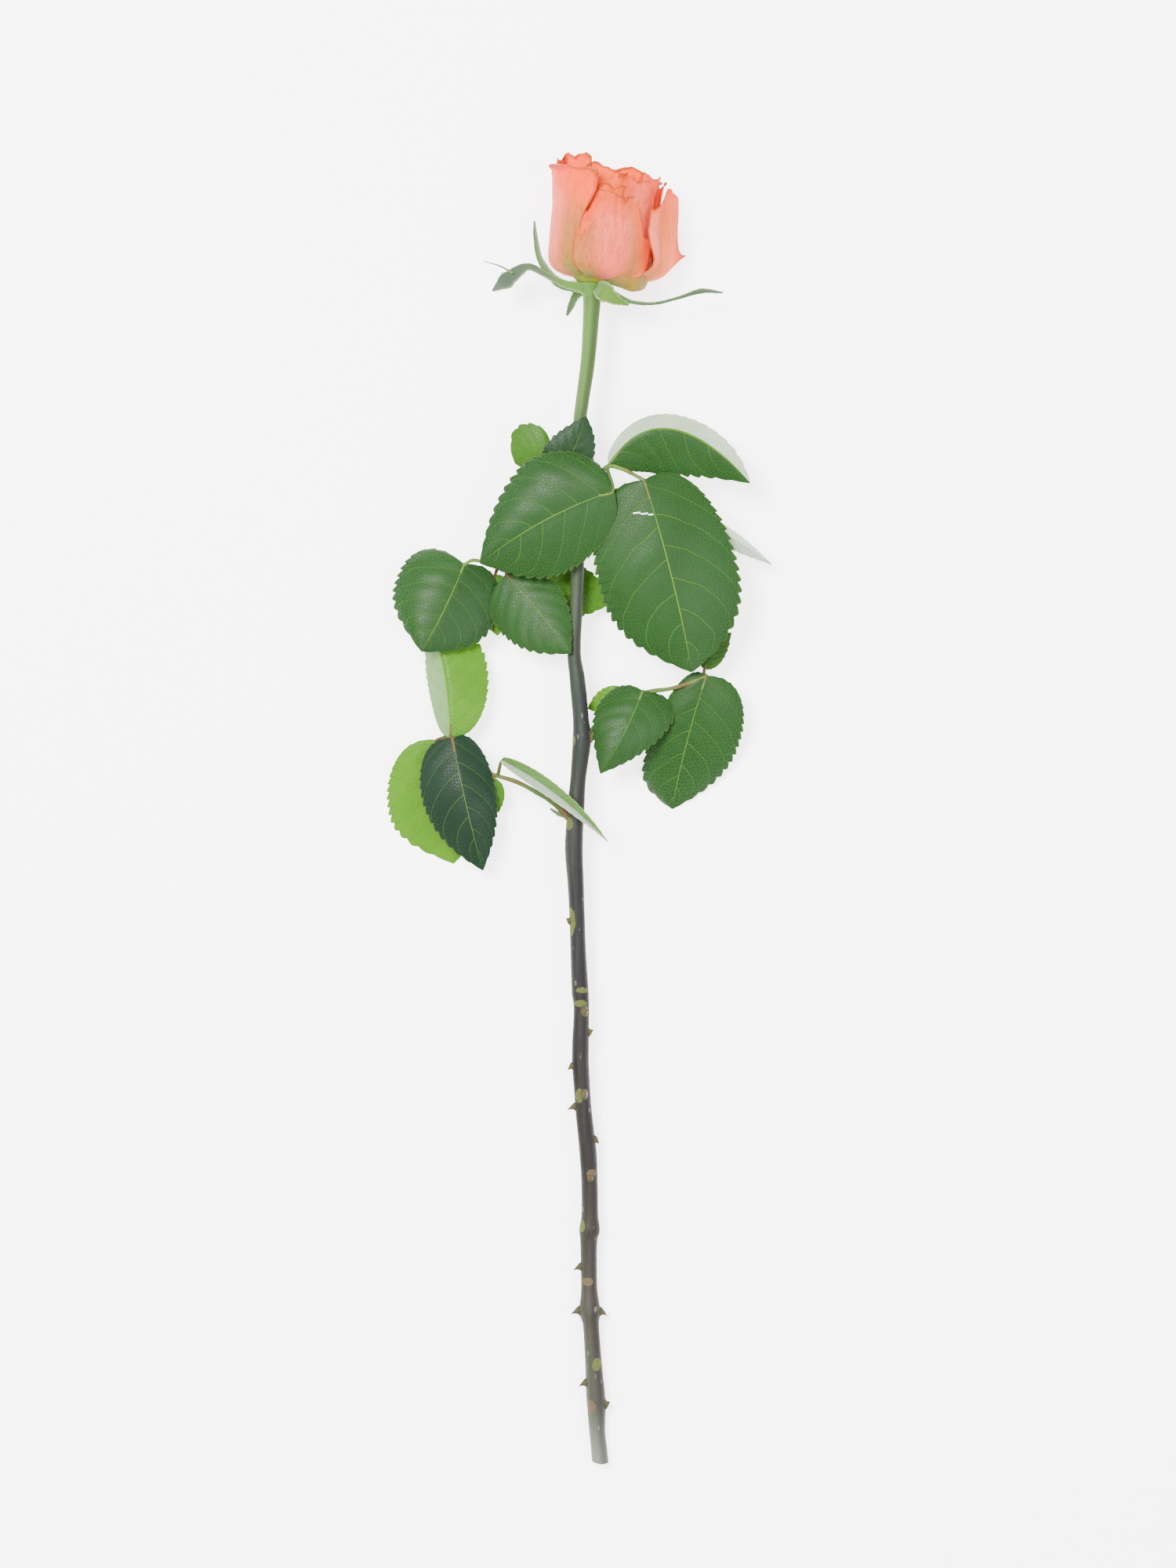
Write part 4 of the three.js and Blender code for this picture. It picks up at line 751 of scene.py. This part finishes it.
def scar_marks(points):
    """How strongly a scar marks each point, and how yellow it is."""
    marks = np.zeros((len(points), 3))
    for x, y, wide, long, yellow in SCARS:
        away = ((points[:, 0] - x) / wide) ** 2 + ((points[:, 1] - y) / long) ** 2
        strength = np.where(points[:, 2] > stem_point(y)[2] - 1, np.clip(1.15 - away, 0, 1), 0)
        marks[strength > marks[:, 0], 1] = yellow
        marks[:, 0] = np.maximum(marks[:, 0], strength)
    return marks


def stem_point(y):
    rows = STEM[::-1]
    return np.array([np.interp(y, rows[:, 1], rows[:, k]) for k in range(4)])


def thorn(piece, y, turn, long, wide, hook):
    """A prickle or bud whose root is sunk in the stem and whose point bends towards the cut end."""
    x, _, z, diameter = stem_point(y)
    turn = math.radians(turn)
    out = np.array([math.sin(turn), 0, math.cos(turn)])
    steps = np.linspace(0, 1, THORN_CELLS)
    reach = diameter / 2 - THORN_SUNK + (THORN_SUNK + long) * steps
    above = np.clip((reach - diameter / 2) / long, 0, 1)
    radii = wide / 2 * (1 - above) ** 1.5 * (0.84 + 0.16 * (1 - steps)) + 0.1
    bend = np.array([0, -1, 0]) * (hook * above**1.6)[:, None]
    centres = np.array([x, y, z]) + out * reach[:, None] + bend
    along = unit(np.gradient(centres, axis=0))
    length = unit(np.cross(np.cross(along, np.array([0, 1.0, 0])), along))
    across = np.cross(along, length)
    angle = turns(THORN_CELLS)
    ring = across[:, None] * np.cos(angle)[:, None] * 0.62 + length[:, None] * np.sin(angle)[:, None]
    grid = centres[:, None] + ring * radii[:, None, None]
    paint = np.stack(np.broadcast_arrays(above[:, None], 0.0 * angle, 0.0), -1)
    faces = grid_faces(THORN_CELLS, THORN_CELLS, True)[:, ::-1]
    piece.add(grid, faces, paint, "prickle")


def make_stem():
    piece = Piece()
    rows = spline(STEM, STEM_ROWS)
    centres, radii = rows[:, :3], rows[:, 3] / 2
    angle = turns(STEM_SIDES)
    grid = piece.tube(centres, radii, STEM_SIDES, "bark", bumps=stem_noise(rows[:, 1:2], angle))
    limit = CUT_MIDDLE + CUT_SLOPE * (grid[..., 0] - STEM[-1, 0])
    grid[..., 1] = np.maximum(grid[..., 1], limit)
    grid[..., 2] = np.maximum(grid[..., 2], 0.02)
    piece.points[-1] = grid.reshape(-1, 3)
    rim = grid[-1]
    middle = rim.mean(0)
    steps = np.linspace(1, 0.02, CUT_RINGS)
    disc = middle + (rim - middle) * steps[:, None, None]
    paint = np.stack(np.broadcast_arrays(steps[:, None], angle, 0.0), -1)
    faces = grid_faces(CUT_RINGS, STEM_SIDES, True)[:, ::-1]
    piece.add(disc, faces, paint, "cut_face")
    for prickle in PRICKLES:
        thorn(piece, *prickle, PRICKLE_HOOK)
    for bud in BUDS:
        thorn(piece, *bud, BUD_HOOK)
    points = np.vstack(piece.points)
    made = piece.make("stem_fine", "stem", {
        "bark": bark_material(), "prickle": prickle_material(), "cut_face": cut_material()})
    scar = made.data.attributes.new("scar", "FLOAT_VECTOR", "POINT")
    scar.data.foreach_set("vector", scar_marks(points).astype(np.float32).ravel())


# Bloom

AXIS = np.array([math.sin(BLOOM_LEAN), math.cos(BLOOM_LEAN), 0])
SIDE = np.array([math.cos(BLOOM_LEAN), -math.sin(BLOOM_LEAN), 0])


def round_axis(height, direction, out, along=0.0):
    """Points at a height along the bloom's axis, in a direction round it and a distance out."""
    outward = UP * math.cos(direction) + SIDE * math.sin(direction)
    sideways = SIDE * math.cos(direction) - UP * math.sin(direction)
    height, out, along = (np.asarray(v)[..., None] for v in np.broadcast_arrays(height, out, along))
    return BLOOM_ROOT + AXIS * height + outward * out + sideways * along


def each_side(pair, u):
    """A value that changes smoothly from the petal's left side to its right."""
    return pair[0] + (pair[1] - pair[0]) * smooth((u + 1) / 2)


def petal_grid(p, u, v, phase):
    """The petal's surface. u runs from one side to the other, -1 to 1, and v from root to rim, 0 to 1."""
    right = (u > 0).astype(int)
    sided = ("half", "fall", "shoulder", "claw", "flare")
    half, fall, shoulder, claw, flare = (np.array(p[key])[right] for key in sided)
    root_out, root_height = p["root"]
    crease_at, crease_height = p["crease"]
    roll = each_side(p["roll"], u)
    s = v * (1 - fall * smooth((np.abs(u) - shoulder) / p["ramp"]))
    swell = 1 - (1 - np.minimum(s / SWELL_TO, 1)) ** 5
    out = root_out + (p["belly"] - root_out) * swell + (p["rim"] - p["belly"]) * smooth((s - 0.45) / 0.45)
    height = root_height + (p["tall"] - roll - root_height) * np.minimum(s / ROLL_FROM, 1)
    height = height - p["slant"] * (u + 1) * 0.5 * s * s
    height = height - np.interp(u, [-1, 0, 1], p["sag"]) * np.sin(np.pi * np.minimum(s / 0.4, 1))
    uneven = 0.75 + 0.25 * np.sin(7 * u + 4 * phase)
    turned = np.radians(each_side(p["curl"], u)) * uneven * np.maximum(0, (v - ROLL_FROM) / (1 - ROLL_FROM))
    out = out + roll * (1 - np.cos(turned))
    height = height + roll * np.sin(turned)
    ridge = crease_height * np.exp(-(((u - crease_at) / 0.16) ** 2)) * s
    out = out + p["spiral"] * u * smooth(s * 2) + ridge
    out = out + p["corner"] * np.maximum(u, 0) ** 6 * v**5
    out = out + p["flute"] * (np.sin(4.3 * u + phase) * v**4 + 0.5 * np.sin(17 * u + 2 * phase) * v**10)
    ragged = np.sin(13 * u + 3 * phase) * np.sin(5 * u + phase)
    ragged = ragged + 0.2 * np.sin(37 * u + 5 * phase + 2 * np.sin(9 * u))
    height = height + 0.9 * np.sin(6.1 * u + 2.3 * phase) * v**2 + 0.5 * ragged * v**14
    middle, width, depth = p["notch"]
    height = height - depth * np.exp(-(((u - middle) / width) ** 2)) * v**9
    widening = (claw + (1 - claw) * smooth(s / p["spread"])) * (1 + flare * smooth((v - 0.5) / 0.4))
    curve = out * p["flat"]
    bent = u * np.radians(half) * widening / p["flat"]
    return round_axis(height, math.radians(p["at"]), out - curve * (1 - np.cos(bent)), curve * np.sin(bent))


def add_turned(piece, profile, along, kind, ribs=0.0):
    """A solid of revolution on the bloom's axis, from pairs of radius and height."""
    profile = spline(profile, TURNED_ROWS)
    angle = turns(TURNED_SIDES)
    radius, height = profile[:, :1], profile[:, 1:]
    outward = UP * np.cos(angle)[:, None] + SIDE * np.sin(angle)[:, None]
    reach = np.maximum(radius, 0) * (1 + ribs * np.cos(5 * angle))
    grid = BLOOM_ROOT + AXIS * height[..., None] + outward[None] * reach[..., None]
    paint = np.broadcast_to([along, 0.3, 0.0], (TURNED_ROWS * TURNED_SIDES, 3))
    piece.add(grid, grid_faces(TURNED_ROWS, TURNED_SIDES, True), paint, kind)


def add_petal(piece, p, cells, phase):
    p = {**PETAL, **p}
    columns, rows = cells
    u = np.linspace(-1, 1, columns + 1)[None, :]
    v = (np.linspace(0, 1, rows + 1) ** 0.7)[:, None]
    u, v = np.broadcast_arrays(u, v)
    grid = petal_grid(p, u, v, phase)
    grid[..., 2] = np.maximum(grid[..., 2], REST_HEIGHT)
    foot = np.interp(u, [-1, 0, 1], p["foot"]) * (1 - v) ** 3
    warm = np.interp(u, np.linspace(-1, 1, len(p["warm"])), p["warm"])
    tone = v * p["reach"] + foot
    piece.blade(grid, PETAL_THICKNESS, np.stack([tone, u, warm], -1), "petal", "petal_inside")


def whorl_petal(whorl, ring, i):
    """One petal of a ring, a little uneven in its height and tones."""
    at = whorl["start"] + i * GOLDEN
    uneven = 2 * draw(10 * ring + i) - 1
    inwards = i * whorl["step"]
    return dict(
        at=at, half=(whorl["half"],) * 2, belly=whorl["belly"] - inwards, rim=whorl["rim"] - inwards,
        tall=whorl["tall"] + uneven - whorl["lean"] * math.sin(math.radians(at)),
        roll=(whorl["roll"],) * 2, curl=(whorl["curl"],) * 2, root=whorl["root"], fall=(0.2, 0.2), flute=0.8,
        warm=(draw(i + 7 * ring) - 0.6, 0.9, draw(i + 7 * ring + 3) + 0.2),
    )


def make_bloom():
    looks = {"petal": petal_material("petal", False), "petal_inside": petal_material("petal_inside", True)}
    outer = Piece()
    for i, p in enumerate(GUARDS):
        add_petal(outer, {**p, "root": GUARD_ROOT}, GUARD_CELLS, i * GUARD_PHASE)
    outer.make("outer_petals", "bloom", looks)
    inner = Piece()
    add_turned(inner, FOOT, FOOT_TONE, "petal")
    for ring, whorl in enumerate(WHORLS):
        for i in range(whorl["count"]):
            add_petal(inner, whorl_petal(whorl, ring, i), WHORL_CELLS, 3 + i * WHORL_PHASE + ring)
    inner.make("inner_petals", "bloom", looks)


# Calyx


def add_sepal(piece, line, half, slope, fresh, cells=40):
    centres = spline(line, cells + 1)
    along = unit(np.gradient(centres, axis=0))
    left = unit(np.cross(UP, along))
    lift = np.cross(along, left)
    at = np.linspace(0, len(half) - 1, cells + 1)
    wide = np.interp(at, np.arange(len(half)), half)
    wide = wide * (1 + SEPAL_JAG * np.sin(at * 5 + centres[0, 0]) * np.sin(at * 13))
    side = np.linspace(-1, 1, SEPAL_COLUMNS)
    slope = math.radians(slope)
    reach = side[None, :] * wide[:, None]
    dip = -0.25 * wide[:, None] * (1 - side[None, :] ** 2)
    grid = centres[:, None] + left[:, None] * (reach * math.cos(slope))[..., None]
    grid = grid + lift[:, None] * (reach * math.sin(slope) + dip)[..., None]
    paint = np.stack(np.broadcast_arrays(np.linspace(0, 1, cells + 1)[:, None], side[None, :], fresh), -1)
    piece.blade(grid[:, ::-1], SEPAL_THICKNESS, paint[:, ::-1], "sepal", "sepal")


def make_calyx(sepal_look):
    piece = Piece()
    add_turned(piece, RECEPTACLE, 0.0, "sepal", 0.03)
    for sepal in SEPALS:
        add_sepal(piece, **sepal)
    hair = spline(SEPAL_HAIR, 20)
    piece.tube(hair, np.linspace(0.45, 0.15, 20), 8, "sepal")
    piece.make("calyx_fine", "calyx", {"sepal": sepal_look})


# Leaves


def midrib(spec):
    """The three points of the leaflet's midrib curve."""
    base, tip = np.array(spec["base"], float), np.array(spec["tip"], float)
    left = unit(np.cross(UP, tip - base))
    peak = spec.get("peak", 0.5)
    middle = base + (tip - base) * peak + left * 2 * spec["bow"] + UP * 2 * spec["arch"]
    return base, middle, tip


def rib_point(curve, s):
    a, b, c = curve
    return (1 - s) ** 2 * a + 2 * s * (1 - s) * b + s * s * c


def rib_tangent(curve, s):
    a, b, c = curve
    return unit((1 - s) * (b - a) + s * (c - b))


def outline(s, widest, tip):
    """How wide the half blade is along the midrib, as a part of its full width."""
    below = np.clip((widest - s) / widest, 0, 1)
    above = np.clip((s - widest) / (1 - widest), 0, 1)
    return np.sqrt(1 - below**2) * (1 - above**tip)


def tooth_height(phase):
    """A saw tooth that rises slowly towards the tip and drops back quickly."""
    f = phase % 1
    return np.where(f < 0.7, (f / 0.7) ** 0.8, (1 - f) / 0.3)


def quilt(s, side):
    """Swelling between the side veins."""
    out = np.abs(side)
    row = VEIN_PAIRS * (s - VEIN_LEAN[0] * out - VEIN_LEAN[1] * out**2) + VEIN_SHIFT * (side > 0)
    return QUILT * (np.cos(2 * np.pi * row) * 0.5 + 0.5) * np.sin(np.pi * np.minimum(out, 1)) ** 0.7


def leaflet_grid(spec):
    """The blade as a grid, from the base to the tip and from its right edge to its left."""
    curve = midrib(spec)
    rib = rib_point(curve, np.linspace(0, 1, 60)[:, None])
    length = np.linalg.norm(np.diff(rib, axis=0), axis=1).sum()
    teeth = max(7, round(length / (TOOTH_PITCH[0] + TOOTH_PITCH[1] * length)))
    k = np.arange(teeth * TOOTH_STEPS + 1) / TOOTH_STEPS
    s = np.clip(k / teeth, 0.002, 0.998) ** CROWDING
    side = np.concatenate([-ACROSS[::-1], ACROSS[1:]])[None, :]
    out = np.abs(side)
    s = s[:, None]
    tooth = tooth_height(k)[:, None] * smooth((out - 0.8) / 0.2)
    left = unit(np.cross(UP, rib_tangent(curve, s)))
    along = rib_tangent(curve, s)
    lift = np.cross(along, left)
    halves = np.where((side > 0)[..., None], np.array(spec["left"], float), np.array(spec["right"], float))
    wide, slope, curl, widest, tip = np.moveaxis(halves, -1, 0)
    fullness = outline(s, widest, tip)
    reach = wide * fullness * (out - TOOTH_DEPTH * smooth((out - 0.8) / 0.2) + TOOTH_DEPTH * tooth)
    forward = 0.35 * length / teeth * tooth * np.minimum(1, fullness * 1.5)
    back = spec.get("lobe", LOBE) * length * out * (1 - s) ** 3 * fullness - forward
    angle = np.radians(slope + 0.5 * curl * out)
    wave = 0.35 * np.sin(9 * s + np.sign(side) + spec["base"][0]) * out**2
    wave = wave + quilt(s, side) * np.minimum(fullness, 1)
    grid = rib_point(curve, s[..., None]) - along[:, None].reshape(len(k), 1, 3) * back[..., None]
    grid = grid + left.reshape(len(k), 1, 3) * (np.sign(side) * reach * np.cos(angle))[..., None]
    grid = grid + lift.reshape(len(k), 1, 3) * (reach * np.sin(angle) + wave)[..., None]
    left_tint, right_tint = np.broadcast_to(spec["tint"], 2)
    paint = np.stack(np.broadcast_arrays(s, side, np.where(side > 0, left_tint, right_tint)), -1)
    return curve, grid, paint


def add_leaflet(piece, spec, stalk_end):
    curve, grid, paint = leaflet_grid(spec)
    grid[..., 2] = np.maximum(grid[..., 2], LEAF_REST_HEIGHT)
    holes = spec.get("holes", ())
    piece.blade(grid[:, ::-1], LEAF_THICKNESS, paint[:, ::-1], "leaf_top", "leaf_under", holes)
    ribs = np.linspace(0, RIB_END, RIB_CELLS)[:, None]
    under = rib_point(curve, ribs) - UP * RIB_SUNK
    radii = np.interp(ribs[:, 0], [0, 1], RIB_RADII)
    piece.tube(under, radii, 10, "leaf_under", float(np.mean(spec["tint"])))
    start = np.array(spec.get("stalk", stalk_end), float)
    line = spline([start, np.array(spec["base"], float), rib_point(curve, 0.1)], TWIG_POINTS)
    piece.tube(line, np.linspace(*TWIG_RADII, TWIG_POINTS), 12, "stalk")


def add_stipules(piece, stalk):
    """Two narrow leafy wings with free points at the stalk's foot."""
    line = spline(stalk, 200)[:, :3]
    far = np.concatenate([[0], np.cumsum(np.linalg.norm(np.diff(line, axis=0), axis=1))])
    base, tip = line[np.searchsorted(far, STIPULE_SPAN)]
    left = unit(np.cross(UP, tip - base))
    for side in (1, -1):
        end = tip + left * side * STIPULE_SPREAD
        middle = base + (end - base) * 0.5 + left * side * 0.5
        add_sepal(piece, [base, middle, end], STIPULE_HALF, 0, 0.5, STIPULE_CELLS)


def make_leaf(name, leaf, looks):
    piece = Piece()
    stalk = spline(leaf["stalk"], STALK_POINTS)
    swell = 1 + 0.06 * np.sin(np.linspace(0, 40, STALK_POINTS))
    piece.tube(stalk[:, :3], stalk[:, 3] * swell, 14, "stalk")
    add_stipules(piece, leaf["stalk"])
    end = leaf["stalk"][-1][:3]
    for spec in leaf["leaflets"]:
        add_leaflet(piece, spec, end)
    piece.make(name + "_fine", name, looks)


def make_leaves(sepal_look):
    looks = {name: leaf_material(name, **look) for name, look in LEAF_LOOKS.items()}
    looks = {**looks, "stalk": stalk_material(), "sepal": sepal_look}
    for name, leaf in LEAVES.items():
        make_leaf(name, leaf, looks)


# Floor, light and camera


def floor_material():
    n = Nodes("floor")
    tone = n.noise(9, 3.0)
    base = n.mix(tone, colour("fbfaf9"), colour("f8f7f6"))
    constants = {"Specular IOR Level": 0.2, "Emission Color": (1, 1, 1, 1), "Emission Strength": 2.8}
    return n.surface(base, 0.85, n.bump(n.noise(700, 3.0), 0.0002, 0.2), **constants)


def make_floor():
    half = FLOOR_SIDE / 2
    mesh = bpy.data.meshes.new("floor")
    corners = [(-half, -half, 0), (half, -half, 0), (half, half, 0), (-half, half, 0)]
    mesh.from_pydata(corners, [], [(0, 1, 2, 3)])
    mesh.materials.append(floor_material())
    floor = bpy.data.objects.new("floor", mesh)
    bpy.context.scene.collection.objects.link(floor)


def area_light(name, at, size, watts):
    light = bpy.data.lights.new(name, "AREA")
    light.shape = "DISK"
    light.size = size
    light.energy = watts
    lamp = bpy.data.objects.new(name, light)
    lamp.location = at
    lamp.rotation_mode = "QUATERNION"
    lamp.rotation_quaternion = (-lamp.location).to_track_quat("-Z", "Y")
    bpy.context.scene.collection.objects.link(lamp)


def make_lights():
    world = bpy.data.worlds.new("studio")
    world.use_nodes = True
    background = world.node_tree.nodes["Background"]
    background.inputs["Color"].default_value = (1, 1, 1, 1)
    background.inputs["Strength"].default_value = WORLD_LIGHT
    bpy.context.scene.world = world
    area_light("key", **KEY_LIGHT)
    area_light("soft", **SOFT_LIGHT)


def make_camera():
    data = bpy.data.cameras.new("camera")
    data.lens = CAMERA_LENS
    data.sensor_width = SENSOR_WIDTH
    data.clip_end = 10
    camera = bpy.data.objects.new("camera", data)
    camera.location = [v * MM for v in CAMERA_AT]
    bpy.context.scene.collection.objects.link(camera)
    bpy.context.scene.camera = camera


make_camera()
make_floor()
make_lights()
make_stem()
make_bloom()
sepal_look = sepal_material()
make_calyx(sepal_look)
make_leaves(sepal_look)
